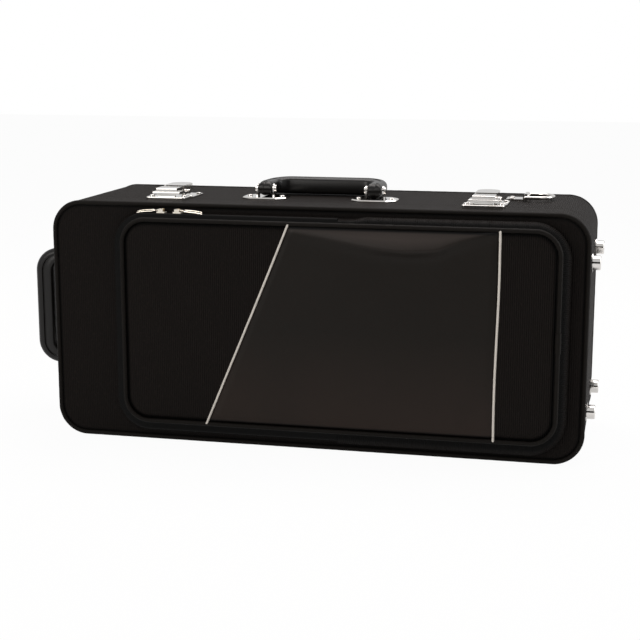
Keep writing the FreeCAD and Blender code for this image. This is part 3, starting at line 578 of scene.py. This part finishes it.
def gusset_band(name, places, rise, depths, outs, material, seam_shade=None, pressed_to=None):
    """A band of the gusset between depths, bulged outward by outs; its ends lie on the fold at every depth.

    Along the top it is pressed flat as far as pressed_to, where a zip pull lies on it.
    """
    rows, v = [], []
    for depth, out in zip(depths, outs):
        loop = pocket_loop(depth)
        own_top, own_bottom = station_at(loop, fold_x, True), station_at(loop, fold_x, False)
        own = np.interp(places, [0, fold_bottom, 1, 4, fold_top, 5, 8, 8 + fold_bottom, 9],
                        [0, own_bottom, 1, 4, own_top, 5, 8, 8 + own_bottom, 9])
        ring = around(loop, own)
        outward = np.full(len(places), out)
        if pressed_to is not None:
            fullness = np.where(own > 3.5, np.clip((ring[:, 0] - pressed_to) / pressed_growth, 0, 1), 1)
            outward = np.minimum(out, 0) + max(out, 0) * fullness
        spot = ring[:, :2] + ring[:, 2:] * (outward - rib_rise * (1 - rise))[:, None]
        rows.append(np.stack([spot[:, 0], np.full(len(spot), lid_y - depth), spot[:, 1]], -1))
        v.append(depth)
    run = np.concatenate([[0], np.cumsum(np.linalg.norm(np.diff(np.array(rows[0]), axis=0), axis=1))])
    piece = skin(name, rows, grid_cloth(run, v), material)
    if seam_shade is not None:
        paint_seam_shade(piece, np.repeat(np.asarray(seam_shade)[:, None], len(places), 1))
    return piece


def part_of(places, rise, start, end):
    """The stations from start to end, going round past the bottom's left end where needed."""
    doubled = np.concatenate([places, places + 8])
    heights = np.concatenate([rise, rise])
    chosen = (doubled > start) & (doubled < end)
    return np.concatenate([[start], doubled[chosen], [end]]), np.concatenate([[1.0], heights[chosen], [1.0]])


def roll_profile(depth, first, last, height, tuck=0.0012):
    """How far a stuffed roll between two depths stands out, and how much painted shade the seam beside it
    gets.
    """
    share = np.clip((depth - first) / (last - first), 0, 1)
    past = np.clip((depth - last) / 0.0022, 0, 1)
    out = (height + tuck) * np.sin(math.pi * share) ** 0.6 - tuck - 0.0022 * past
    return out, np.clip((depth - last + 0.0042) / 0.0030, 0, 1)


gusset_places, gusset_rise = ribbed_stations(tuple(pocket_foot))
left_ribs = part_of(gusset_places, gusset_rise, fold_top, 8 + fold_bottom)
right_ribs = part_of(gusset_places, gusset_rise, fold_bottom, fold_top)

# The narrow gusset between lid and zip gets painted shade, full at both edges and lighter between.
lid_gusset = gusset_band("lid_side_gusset", *left_ribs, [-0.0002, 0.0008, 0.0020, 0.0032, 0.0044],
                         [-0.0006, 0.0004, 0.0007, 0.0002, -0.0012], ribbed_cloth, [1, 0.5, 0.2, 0.3, 1])
stands_for(lid_gusset, "lid", "ribbed_fabric", "pocket_gusset_left")

depth = np.concatenate([np.linspace(-0.0002, 0.0116, 12), np.linspace(0.0124, 0.0191, 8)])
out, crevice_shade = roll_profile(depth, -0.0002, 0.0122, 0.0026)
# The right gusset gets painted shade all over, deepest near the lid.
crevice_shade = np.maximum(crevice_shade, np.clip(0.9 - depth / 0.002, 0.22, 1))
right_gusset = gusset_band("right_gusset", *right_ribs, depth, out, ribbed_cloth, crevice_shade,
                           pressed_to=fold_x + 0.0145)
stands_for(right_gusset, "lid", "ribbed_fabric", "pocket_gusset_right")

tape_cloth = cloth_material("zip_tape_cloth", (0.0034, 0.0029, 0.0023, 1), (0.0078, 0.0066, 0.0053, 1),
                            (0.0118, 0.0100, 0.0083, 1), 0.3, 0.10, 0.0008, 0.0004)
spots = stations(tuple(pocket_foot), 0.003)
smooth_places = part_of(spots, np.ones(len(spots)), fold_top, 8 + fold_bottom)
depth = np.concatenate([np.linspace(0.0076, 0.0118, 10), np.linspace(0.0124, 0.0189, 8)])
out, crevice_shade = roll_profile(depth, 0.0076, 0.0122, 0.0022)
flap_gusset = gusset_band("flap_side_gusset", *smooth_places, depth, out, tape_cloth, crevice_shade)
stands_for(flap_gusset, "pocket_flap", "ribbed_fabric", "flap_gusset")


TOOTH_COUNT = 470
TOOTH_FACES = ((0, 1, 3, 2), (4, 6, 7, 5), (0, 4, 5, 1), (2, 3, 7, 6), (1, 5, 7, 3))


def zip_half(name, side, replaced, body):
    """One tape edge with its row of coil teeth; side is -1 on the lid and 1 on the flap."""
    depths = [zip_depth + side * step for step in (0.0018, 0.0012, 0.0006, 0.0002)]
    outs = [-0.0006, -0.0004, -0.0003, -0.0006]
    tape = gusset_band(name, *smooth_places, depths[::side], outs[::side], tape_cloth)
    mesh = bmesh.new()
    mesh.from_mesh(tape.data)
    for x, z, nx, nz in around(pocket_loop(zip_depth), np.linspace(fold_top, 8 + fold_bottom, TOOTH_COUNT)):
        if x > fold_x - 0.001:
            continue
        ahead, out, inward = Vector((-nz, 0, nx)), Vector((nx, 0, nz)), Vector((0, -side, 0))
        middle = Vector((x, lid_y - zip_depth - side * 0.0005, z)) + out * 0.0001 + ahead * side * 0.0004
        verts = [mesh.verts.new(middle + ahead * (end * width / 2) + inward * (reach * 0.0008) + out * height)
                 for end in (-1, 1) for reach, width in ((-0.9, 0.00055), (0.9, 0.0004))
                 for height in (-0.0004, 0.0005)]
        for corners in TOOTH_FACES:
            mesh.faces.new([verts[corner] for corner in corners])
    mesh.to_mesh(tape.data)
    mesh.free()
    stands_for(tape, body, "zip_teeth", replaced)


zip_half("zip_on_lid", -1, "zip_teeth_lid", "lid")
zip_half("zip_on_flap", 1, "zip_teeth_flap", "pocket_flap")

# ------------------------ Pocket face
# The face is sewn from three panels: ribbed cloth at both ends and soft
# brown-black leather between them, with a light grey welt in each seam.
left_seam = (-0.113026, -0.0114874)
right_seam = (0.184628, 0.18701)
case_height = 0.244
inner_rim = (-0.1872, 0.2422, 0.0258, 0.2282, 0.0232)


def seam_x(seam, z):
    return seam[0] + (seam[1] - seam[0]) * z / case_height


def seam_z(seam, x):
    return (x - seam[0]) * case_height / (seam[1] - seam[0])


def eased(share):
    """A share from 0 to 1 that starts and ends gently."""
    return share * share * (3 - 2 * share)


def swell_at(x, z, amount, margin):
    """How far the padded face stands out: nothing at the rim, and amount further in than margin."""
    return amount * eased(np.clip(edge_distance(inner_rim, x, z) / margin, 0, 1))


def unevenness(x, z, amount, scale, seed):
    return amount * np.array([noise.noise((a * scale, seed, b * scale)) for a, b in zip(x, z)])


edge_swell, edge_margin, middle_swell, middle_margin = 0.0026, 0.0066, 0.0009, 0.020
face_skin = 0.0003
pocket_rows = near_edges([0, 0.005, 0.010, 0.016, 0.023, 0.031, 0.042, 0.06],
                         [0.94, 0.958, 0.969, 0.977, 0.984, 0.990, 0.995, 1])


def ribbed_face(name, left, right, low_line):
    x, rise = upright_ribs(left, right)
    low, high = loop_limits(inner_rim, x)
    low = np.maximum(low, low_line(x))
    rows, cloth, seam_shade = [], [], []
    for share in pocket_rows:
        z = low + share * np.maximum(high - low, 0)
        out = swell_at(x, z, edge_swell, edge_margin) - edge_swell
        out = out + swell_at(x, z, middle_swell, middle_margin)
        # Along the rim, beside the piping, the cloth gets painted shade.
        seam_shade.append(1 - (edge_distance(inner_rim, x, z) - 0.0030) / 0.0018)
        out = out + unevenness(x, z, 0.0003, 14, 3.0)
        rows.append(np.stack([x, face_y + face_skin - out + rib_rise * (1 - rise), z], -1))
        cloth.append(np.stack([x, z], -1))
    piece = skin(name, rows, cloth, ribbed_cloth)
    paint_seam_shade(piece, seam_shade)
    return piece


left_panel = ribbed_face("left_ribbed_panel", inner_rim[0], seam_x(left_seam, inner_rim[3]),
                         lambda x: seam_z(left_seam, x))
stands_for(left_panel, "pocket_flap", "ribbed_fabric", "flap_ribbed_panel")
right_panel = ribbed_face("right_ribbed_panel", 0.1859, inner_rim[1], lambda x: x * 0)
stands_for(right_panel, "lid", "ribbed_fabric", "pocket_ribbed_panel")

leather_grain, ends_in, ends_out = new_group(
    "leather_grain", {"Grain Size": 0.0012, "Dark": black, "Light": black})
tree = leather_grain
place = add(tree, "ShaderNodeTexCoord").outputs["Object"]
cells = add(tree, "ShaderNodeTexVoronoi", feature="DISTANCE_TO_EDGE")
link_all(tree, cells, Vector=place, Scale=maths(tree, "DIVIDE", 1.0, ends_in.outputs["Grain Size"]))
pores = maths(tree, "MULTIPLY", cells.outputs["Distance"], 3.0, clamp=True)
cloud = noise_at(tree, place, 18.0, 4.0)
fine = noise_at(tree, place, 900.0, 2.0)
tone = maths(tree, "MULTIPLY", cloud, pores)
link_all(tree, ends_out, Colour=mixed(tree, tone, ends_in.outputs["Dark"], ends_in.outputs["Light"]),
         Height=maths(tree, "MULTIPLY_ADD", fine, 0.3, pores),
         Roughness=maths(tree, "MULTIPLY_ADD", cloud, 0.16, 0.34))

# Low down the leather gets a warm painted reflection of the floor, in patches; it gets a painted highlight
# where it sags below the top edge, and painted shade in the seams.
leather, tree, shader = new_material("panel_leather")
grain = place_group(tree, leather_grain, Grain_Size=0.0011, Dark=(0.0070, 0.0052, 0.0037, 1),
                    Light=(0.0118, 0.0090, 0.0066, 1))
place = add(tree, "ShaderNodeTexCoord").outputs["Object"]
split = add(tree, "ShaderNodeSeparateXYZ")
tree.links.new(place, split.inputs[0])
# Below the middle the leather turns warmer and lighter in patches: a painted reflection of the floor.
low_down = maths(tree, "MULTIPLY", maths(tree, "SUBTRACT", 0.125, split.outputs[2]), 9.0, clamp=True)
glow_patches = maths(tree, "MULTIPLY", noise_at(tree, place, 11.0, 3.0), 1.7, clamp=True)
seam = add(tree, "ShaderNodeAttribute", attribute_name="seam")
sag_highlight = add(tree, "ShaderNodeAttribute", attribute_name="sag_highlight")
painted_floor_glow = maths(tree, "MULTIPLY", low_down, glow_patches)
hide = mixed(tree, painted_floor_glow, grain.outputs["Colour"], (0.0225, 0.0145, 0.0110, 1))
# The sag below the top edge gets a lighter painted highlight.
hide = mixed(tree, sag_highlight.outputs["Fac"], hide, (0.0380, 0.0305, 0.0270, 1))
# Along its seams the leather goes near black: painted shade.
hide = mixed(tree, seam.outputs["Fac"], hide, (0.0008, 0.0006, 0.0005, 1))
link_all(tree, shader, Base_Color=hide, Roughness=grain.outputs["Roughness"])
set_sockets(shader, Specular_IOR_Level=0.15)
bump(tree, shader, grain.outputs["Height"], 0.12, 0.0002)


def bell(x, middle, spread):
    return np.exp(-((x - middle) / spread) ** 2)


def faded(beyond, spread):
    """1 as far as a line, and fading over spread beyond it."""
    return np.exp(-(beyond / spread).clip(0) ** 2)


leather_low, leather_high = 0.0252, 0.2288
leather_swell, leather_tuck, bag_swell, hollow_depth = 0.0038, 0.0020, 0.0068, 0.0011
across = np.linspace(0, 1, 81)
rows, cloth, seam_shade, stretch = [], [], [], []
for share in np.concatenate([[0, 0.004, 0.009, 0.016], np.linspace(0.03, 0.80, 36),
                             np.linspace(0.808, 0.994, 60), [1]]):
    z = leather_low + share * (leather_high - leather_low)
    left, right = seam_x(left_seam, z) + 0.0006, seam_x(right_seam, z) - 0.0006
    x = left + across * (right - left)
    heights = np.full(len(x), z)
    drop = leather_high - z
    # The sag's lower edge hangs deepest right of the middle and runs out at the right seam.
    narrowing = np.clip((0.200 - x) / 0.070, 0, 1)
    droop = narrowing * (0.0045 + 0.0150 * bell(x, 0.105, 0.070) + 0.0035 * bell(x, 0.03, 0.05))
    over = np.clip(drop / droop, 0, 1)
    roll = np.clip(1 - (1 - over) ** 2, 0, 1) ** 0.8
    bag = bag_swell * narrowing * bell(x, 0.098, 0.072) * np.where(drop < droop, drop / droop,
                                                                  faded(drop - droop, 0.0075))
    below = eased(np.clip((drop - droop) / 0.012, 0, 1))
    hollow = hollow_depth * bell(x, 0.105, 0.085) * below * faded(drop - droop, 0.05)
    foot_turn = eased(np.clip((z - leather_low) / 0.007, 0, 1))
    side = eased(np.clip(np.minimum(across, 1 - across) * 0.25 / 0.006, 0, 1))
    out = leather_swell * roll * foot_turn * (0.35 + 0.65 * side) - leather_tuck - hollow + bag
    out = out + unevenness(x, heights, 0.0004, 9, 7.0) * over * foot_turn
    # Where the leather gets painted shade along its seams.
    seam_shade.append(1 - (edge_distance(inner_rim, x, heights) - 0.0026) / 0.0016)
    # How strong the sag's painted highlight is at each point.
    fading = np.clip(1.1 - (drop - 0.5 * droop) / (0.65 * droop), 0, 1)
    stretch.append(fading * np.clip(drop / 0.003, 0, 1) * (0.55 + 0.45 * bell(x, 0.090, 0.075)))
    rows.append(np.stack([x, face_y + face_skin - out, heights], -1))
    cloth.append(np.stack([x, heights], -1))
leather_panel = skin("leather_panel", rows, cloth, leather)
paint_seam_shade(leather_panel, seam_shade)
sag_highlight_layer = leather_panel.data.attributes.new("sag_highlight", "FLOAT", "POINT")
sag_highlight_layer.data.foreach_set("value", np.concatenate(stretch).astype(np.float32))
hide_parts("flap_leather_panel", "pocket_leather_panel")
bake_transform(leather_panel)

light_cloth = cloth_material("light_welt_cloth", (0.50, 0.46, 0.41, 1), (0.82, 0.77, 0.70, 1),
                             (0.86, 0.82, 0.76, 1), 0.3, 0.3, 0.0007, 0.0005)


def seam_welt(name, seam, bend, body, replaced):
    z = np.linspace(0.0248, 0.2292, 70)
    x = seam_x(seam, z) + bend((z - z[0]) / (z[-1] - z[0]))
    centres = np.stack([x, np.full(len(z), face_y - 0.0002), z], -1)
    piece = welt(name, centres, np.tile([1.0, 0, 0], (len(z), 1)), 0.0012, light_cloth, closed=False)
    stands_for(piece, body, "light_trim", replaced)


seam_welt("left_light_welt", left_seam, lambda t: 0.0008 * np.sin(math.pi * t) * t,
          "pocket_flap", "flap_light_trim")
seam_welt("right_light_welt", right_seam, lambda t: -0.0006 * np.sin(2 * math.pi * t),
          "lid", "pocket_light_trim")

# ------------------------ Pocket piping
# A black welt cord runs all round the pocket's face. Its two ends meet on
# the right side, under a short sleeve of ribbed tape.
face_welt_inset, face_welt_y = 0.0006, face_y + 0.0011
face_welt = loop_welt("pocket_face_welt", tuple(pocket_rim), face_welt_inset, face_welt_y, 0.0022,
                      wrinkle=0.00022)
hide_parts("pocket_piping", "flap_piping")
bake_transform(face_welt)

sleeve_z = np.linspace(0.114, 0.134, 41)
sleeve_line = np.stack([np.full(41, pocket_rim[1] - face_welt_inset), np.full(41, face_welt_y), sleeve_z], -1)
sleeve = welt("piping_sleeve_cloth", sleeve_line, np.tile([1.0, 0, 0], (41, 1)), 0.0029, piping_cloth,
              closed=False, wrinkle=0.00035)
stands_for(sleeve, "lid", "dark_piping", "piping_sleeve")

# ------------------------ Polished metal
# Latches, handle plates, strap ring, rivets and feet are pressed or turned
# steel with polished chrome plate; the zip sliders are polished nickel.
metal_wear, ends_in, ends_out = new_group("metal_wear", {
    "Polish": 0.08, "Haze": 0.06, "Plate": (0.8, 0.8, 0.8, 1), "Worn": (0.6, 0.6, 0.6, 1)})
tree = metal_wear
place = add(tree, "ShaderNodeTexCoord").outputs["Object"]
smear = noise_at(tree, place, 60.0, 5.0)
haze = maths(tree, "MULTIPLY", smear, ends_in.outputs["Haze"])
worn = maths(tree, "MULTIPLY", maths(tree, "SUBTRACT", smear, 0.55), 3.0, clamp=True)
link_all(tree, ends_out, Colour=mixed(tree, worn, ends_in.outputs["Plate"], ends_in.outputs["Worn"]),
         Height=noise_at(tree, place, 700.0, 2.0),
         Roughness=maths(tree, "ADD", haze, ends_in.outputs["Polish"]))


def metal_material(name, plate, worn, polish, haze, relief):
    material, tree, shader = new_material(name)
    finish = place_group(tree, metal_wear, Polish=polish, Haze=haze, Plate=plate, Worn=worn)
    set_sockets(shader, Metallic=1.0)
    surface_from(tree, shader, finish, relief, 0.0001)
    return material


chrome = metal_material("chrome_plate", (0.72, 0.70, 0.675, 1), (0.50, 0.46, 0.40, 1), 0.05, 0.08, 0.06)
nickel = metal_material("polished_nickel", (0.86, 0.80, 0.70, 1), (0.70, 0.60, 0.45, 1), 0.07, 0.08, 0.06)
steel = metal_material("plated_steel", (0.55, 0.54, 0.52, 1), (0.42, 0.40, 0.38, 1), 0.22, 0.15, 0.15)


def finish_nodes(material, slot_name):
    """Gives this material to every CAD node that has the record's slot."""
    for part in frame["record"]["subparts"]:
        if part["material_slot"] == slot_name:
            mesh = frame["nodes"][part["node"]].data
            mesh.materials.clear()
            mesh.materials.append(material)


finish_nodes(chrome, "chrome")
finish_nodes(nickel, "zip_nickel")
finish_nodes(steel, "hinge_steel")

# ------------------------ Grips
# Both grips are moulded in black plastic as one round-edged C. A groove runs
# along each face, with a raised rim outside it and a lower web inside.
moulding, tree, shader = new_material("moulded_grip")
grain = place_group(tree, leather_grain, Grain_Size=0.0009, Dark=(0.0040, 0.0036, 0.0033, 1),
                    Light=(0.0070, 0.0062, 0.0056, 1))
link_all(tree, shader, Base_Color=grain.outputs["Colour"],
         Roughness=maths(tree, "MULTIPLY", grain.outputs["Roughness"], 0.75))
set_sockets(shader, Specular_IOR_Level=0.3)
bump(tree, shader, grain.outputs["Height"], 0.06, 0.0001)

grip_half, grip_reach, grip_corner = 0.064, 0.052, 0.025
arm_width, bar_width = 0.014, 0.020
eye_radius, bar_half = 0.0078, 0.0090


def grip_stations():
    """Outer point, inner point and half thickness along the C, from eye to eye."""
    hub, inner_radius = grip_half - grip_corner, grip_corner - arm_width
    outer_turn, inner_turn = grip_reach - grip_corner, grip_reach - bar_width - inner_radius
    half = []
    for turn in np.radians(np.linspace(88, 0, 9)):
        low = -eye_radius * math.sin(turn)
        half.append(((-grip_half, low), (-grip_half + arm_width, low), eye_radius * math.cos(turn)))
    for share in np.linspace(0, 1, 7)[1:-1]:
        outer, inner = (-grip_half, share * outer_turn), (-grip_half + arm_width, share * inner_turn)
        half.append((outer, inner, eye_radius))
    for share in np.linspace(0, 1, 15):
        turn = share * math.pi / 2
        outer = (-hub - grip_corner * math.cos(turn), outer_turn + grip_corner * math.sin(turn))
        inner = (-hub - inner_radius * math.cos(turn), inner_turn + inner_radius * math.sin(turn))
        half.append((outer, inner, eye_radius + (bar_half - eye_radius) * eased(share)))
    for share in np.linspace(0, 1, 9)[1:]:
        x = -hub * (1 - share)
        half.append(((x, grip_reach), (x, grip_reach - bar_width), bar_half))
    mirrored = [((-o[0], o[1]), (-i[0], i[1]), t) for o, i, t in half[-2::-1]]
    return half + mirrored


def grip_section(width, half):
    """Points round the section: how far in from the outer edge, and across the thickness."""
    scale = min(1, half / eye_radius)
    outer_round, inner_round = 0.0060 * scale, 0.0035 * scale
    groove, web = 0.0013 * scale, 0.0007 * scale
    start = 0.46 * width - 0.0008
    side = [(outer_round * (1 - math.cos(a)), half - outer_round * (1 - math.sin(a)))
            for a in np.radians([0, 18, 36, 54, 72, 90])]
    side += [(start - 0.0004, half), (start, half - 0.15 * groove), (start + 0.0005, half - 0.8 * groove),
             (start + 0.0010, half - groove), (start + 0.0015, half - 0.8 * groove),
             (start + 0.0020, half - web)]
    side += [(width - inner_round * (1 - math.sin(a)), half - web - inner_round * (1 - math.cos(a)))
             for a in np.radians([0, 20, 40, 60, 80])]
    return side + [(inward, -across) for inward, across in side[::-1]]


def grip(name, body, replaced, pivot, along, away, through):
    """A grip on this pivot; along the pivot line, away from the case, and through its thickness."""
    pivot, along, away, through = (np.array(line) for line in (pivot, along, away, through))
    rows = []
    for outer, inner, half in grip_stations():
        outer, inner = np.array(outer), np.array(inner)
        width = np.linalg.norm(inner - outer)
        row = []
        for inward, across in grip_section(width, half):
            flat = outer + (inner - outer) / width * inward
            row.append(pivot + flat[0] * along + flat[1] * away + across * through)
        rows.append(row)
    cloth = grid_cloth(np.arange(len(rows[0])) * 0.002, np.arange(len(rows)) * 0.003)
    piece = skin(name, rows, cloth, moulding, closed=True)
    mesh = bmesh.new()
    mesh.from_mesh(piece.data)
    bmesh.ops.holes_fill(mesh, edges=[edge for edge in mesh.edges if edge.is_boundary])
    bmesh.ops.recalc_face_normals(mesh, faces=mesh.faces)
    mesh.to_mesh(piece.data)
    mesh.free()
    stands_for(piece, body, "handle_plastic", replaced)


fold = math.radians(-91.2)
grip("top_grip", "top_handle", "top_handle_grip", (-0.006, -0.0165, 0.2545), (1, 0, 0),
     (0, -math.sin(fold), math.cos(fold)), (0, math.cos(fold), math.sin(fold)))
grip("end_grip", "end_handle", "end_handle_grip", (-0.2805, 0.0125, 0.116), (0, 0, 1), (-1, 0, 0), (0, 1, 0))

# ------------------------ Zip pulls
# Each slider has a cast nickel pull: an eye on the slider's pin, a short
# neck, and a long loop that lies along the gusset, with its end bent down.
pull_centre_y, pull_reach, pin_radius = -0.0905, 0.0265, 0.0011
neck_start, neck_end, neck_width, neck_thickness = 0.0004, 0.0070, 0.0028, 0.0011
wire_half_width, wire_half_thickness, wire_sides = 0.00078, 0.00060, 10
pull_loop = (0.0066, pull_reach - 0.0008, -0.0023, 0.0023, 0.0016)
pull_droop, pull_twist, pull_curl = math.radians(4), 0.22, 0.0013


def zip_pull(name, node, body, way):
    low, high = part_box(node)
    pin_x = high[0] - pin_radius if way < 0 else low[0] + pin_radius
    pin = Vector((pin_x, pull_centre_y, high[2] - pin_radius))
    mesh = bmesh.new()
    ring = []
    path = stations(pull_loop, 0.0007)
    for px, py, nx, ny in around(pull_loop, path):
        for turn in np.radians(np.arange(0, 360, 360 // wire_sides)):
            side, up = wire_half_width * math.cos(turn), wire_half_thickness * math.sin(turn)
            ring.append(mesh.verts.new((px + nx * side, py + ny * side, up)))
    for number in range(len(path)):
        a, b = number * wire_sides, (number + 1) % len(path) * wire_sides
        for corner in range(wire_sides):
            following = (corner + 1) % wire_sides
            mesh.faces.new((ring[a + corner], ring[b + corner], ring[b + following], ring[a + following]))
    neck = bmesh.ops.create_cube(mesh, size=1)["verts"]
    for vert in neck:
        vert.co = ((neck_start + neck_end) / 2 + vert.co.x * (neck_end - neck_start), vert.co.y * neck_width,
                   vert.co.z * neck_thickness)
    bmesh.ops.bevel(mesh, geom=list({edge for vert in neck for edge in vert.link_edges}), offset=0.0003,
                    segments=2, affect="EDGES")
    eye = bmesh.ops.create_cone(mesh, cap_ends=True, segments=24, radius1=pin_radius, radius2=pin_radius,
                                depth=0.0030)["verts"]
    for vert in eye:
        vert.co = (vert.co.x, vert.co.z, vert.co.y)
    for vert in mesh.verts:
        x, y, z = vert.co
        loose = min(max((x - 0.004) / 0.005, 0), 1)
        z += loose * y * pull_twist - pull_curl * max((x - 0.018) / 0.0085, 0) ** 2
        vert.co = pin + Vector((way * (x * math.cos(pull_droop) + z * math.sin(pull_droop)), y,
                                z * math.cos(pull_droop) - x * math.sin(pull_droop)))
    bmesh.ops.recalc_face_normals(mesh, faces=mesh.faces)
    data = bpy.data.meshes.new(name)
    mesh.to_mesh(data)
    mesh.free()
    data.shade_smooth()
    data.materials.append(nickel)
    stands_for(linked(name, data), body, "zip_nickel", node)


zip_pull("left_pull", "zip_pull_left", "pull_left", -1)
zip_pull("right_pull", "zip_pull_right", "pull_right", 1)

# ------------------------ Lined boards
# The shells and the accessory box are stiff board lined with black flock,
# and a moulded strip stands in the base's mouth.
flock_pile, ends_in, ends_out = new_group("flock_pile", {"Pile Size": 0.0006, "Deep": black, "Tip": black})
tree = flock_pile
place = add(tree, "ShaderNodeTexCoord").outputs["Object"]
pile = noise_at(tree, place, maths(tree, "DIVIDE", 1.0, ends_in.outputs["Pile Size"]), 3.0)
brushed = noise_at(tree, place, 26.0, 4.0, distortion=1.2)
laid = maths(tree, "MULTIPLY", maths(tree, "SUBTRACT", brushed, 0.36), 3.0, clamp=True)
tone = maths(tree, "MULTIPLY", laid, pile)
link_all(tree, ends_out, Colour=mixed(tree, tone, ends_in.outputs["Deep"], ends_in.outputs["Tip"]),
         Height=maths(tree, "MULTIPLY_ADD", laid, 0.35, pile),
         Roughness=maths(tree, "MULTIPLY_ADD", laid, -0.15, 0.95))


def pile_material(name, size, deep, tip, relief, sheen):
    material, tree, shader = new_material(name)
    pile = place_group(tree, flock_pile, Pile_Size=size, Deep=deep, Tip=tip)
    set_sockets(shader, Specular_IOR_Level=0.08, Sheen_Weight=sheen, Sheen_Roughness=0.4,
                Sheen_Tint=(0.20, 0.19, 0.19, 1))
    surface_from(tree, shader, pile, relief, 0.0004)
    return material


flock = pile_material("black_flock", 0.0006, (0.004, 0.004, 0.0042, 1), (0.022, 0.021, 0.021, 1), 0.4, 0.15)
finish_nodes(flock, "lined_board")

strip, tree, shader = new_material("moulded_strip")
grain = place_group(tree, leather_grain, Grain_Size=0.0016, Dark=(0.006, 0.006, 0.006, 1),
                    Light=(0.012, 0.012, 0.012, 1))
set_sockets(shader, Specular_IOR_Level=0.35)
surface_from(tree, shader, grain, 0.1, 0.0001)
finish_nodes(strip, "rim_strip")

# ------------------------ Plush bed and lid pad
# Foam blocks on a foam floor, covered in black plush, leave a recess for
# the trumpet. A soft pad of the same plush lines the lid and holds it down.
plush = pile_material("black_plush", 0.0011, (0.004, 0.0037, 0.0040, 1), (0.034, 0.031, 0.032, 1), 0.8, 0.35)


pad_mesh_size, pad_shrink, pad_frames = 0.0045, 0.001, 20


def keep_result(piece):
    """Turns what the modifiers make of the piece into its mesh."""
    made = bpy.data.meshes.new_from_object(piece.evaluated_get(bpy.context.evaluated_depsgraph_get()))
    piece.modifiers.clear()
    old, piece.data = piece.data, made
    bpy.data.meshes.remove(old)


def applied(piece, kind, **settings):
    modifier = piece.modifiers.new(kind.lower(), kind)
    for setting, value in settings.items():
        setattr(modifier, setting, value)
    keep_result(piece)


def points_of(piece):
    points = np.empty(len(piece.data.vertices) * 3)
    piece.data.vertices.foreach_get("co", points)
    return points.reshape(-1, 3)


def foam_pad(name, nodes, smoothing, pressure, furthest, still):
    """A plush covered pad made from CAD solids: remeshed, rounded, and swollen as cloth over foam.

    Nothing moves further than furthest in the simulation; the points that still picks are held.
    """
    mesh = bmesh.new()
    for node in nodes:
        mesh.from_mesh(frame["nodes"][node].data)
    bmesh.ops.remove_doubles(mesh, verts=mesh.verts, dist=0.00001)
    data = bpy.data.meshes.new(name)
    mesh.to_mesh(data)
    mesh.free()
    piece = linked(name, data)
    applied(piece, "REMESH", mode="VOXEL", voxel_size=pad_mesh_size)
    applied(piece, "SMOOTH", factor=0.5, iterations=smoothing)
    boxes = [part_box(node) for node in nodes]
    low = np.min([corner[0] for corner in boxes], 0)
    high = np.max([corner[1] for corner in boxes], 0)
    start = points_of(piece)
    normals = np.empty(len(start) * 3)
    piece.data.vertices.foreach_get("normal", normals)
    normals = normals.reshape(-1, 3)
    piece.data.vertices.foreach_set("co", (start - pad_shrink * normals).reshape(-1))
    held = piece.vertex_groups.new(name="held")
    held.add([int(number) for number in np.nonzero(still(start))[0]], 1.0, "REPLACE")
    cloth = piece.modifiers.new("cloth", "CLOTH")
    plush_sheet = cloth.settings
    plush_sheet.quality = 5
    plush_sheet.mass = 0.3
    plush_sheet.tension_stiffness = plush_sheet.compression_stiffness = 15
    plush_sheet.use_pressure = True
    plush_sheet.uniform_pressure_force = pressure
    plush_sheet.effector_weights.gravity = 0
    plush_sheet.vertex_group_mass = "held"
    cloth.point_cache.frame_start, cloth.point_cache.frame_end = 1, pad_frames
    for number in range(1, pad_frames + 1):
        scene.frame_set(number)
    keep_result(piece)
    scene.frame_set(1)
    moved = points_of(piece) - start
    length = np.linalg.norm(moved, axis=1)[:, None]
    moved *= np.minimum(1, furthest / np.maximum(length, 1e-9))
    start = start + moved
    piece.vertex_groups.clear()
    piece.data.vertices.foreach_set("co", np.clip(start, low, high).reshape(-1))
    applied(piece, "SUBSURF", levels=1, render_levels=1)
    piece.data.shade_smooth()
    piece.data.materials.clear()
    piece.data.materials.append(plush)
    return piece


bed = foam_pad("plush_bed", ["bed_floor", "bed_blocks"], 6, 3.0, 0.0035, lambda points: points[:, 1] > 0.072)
stands_for(bed, "base", "plush_foam", "bed_floor", "bed_blocks")
lid_pad = foam_pad("lid_pad", ["lid_padding"], 4, 4.0, 0.005, lambda points: points[:, 1] < -0.0755)
stands_for(lid_pad, "lid", "plush_foam", "lid_padding")
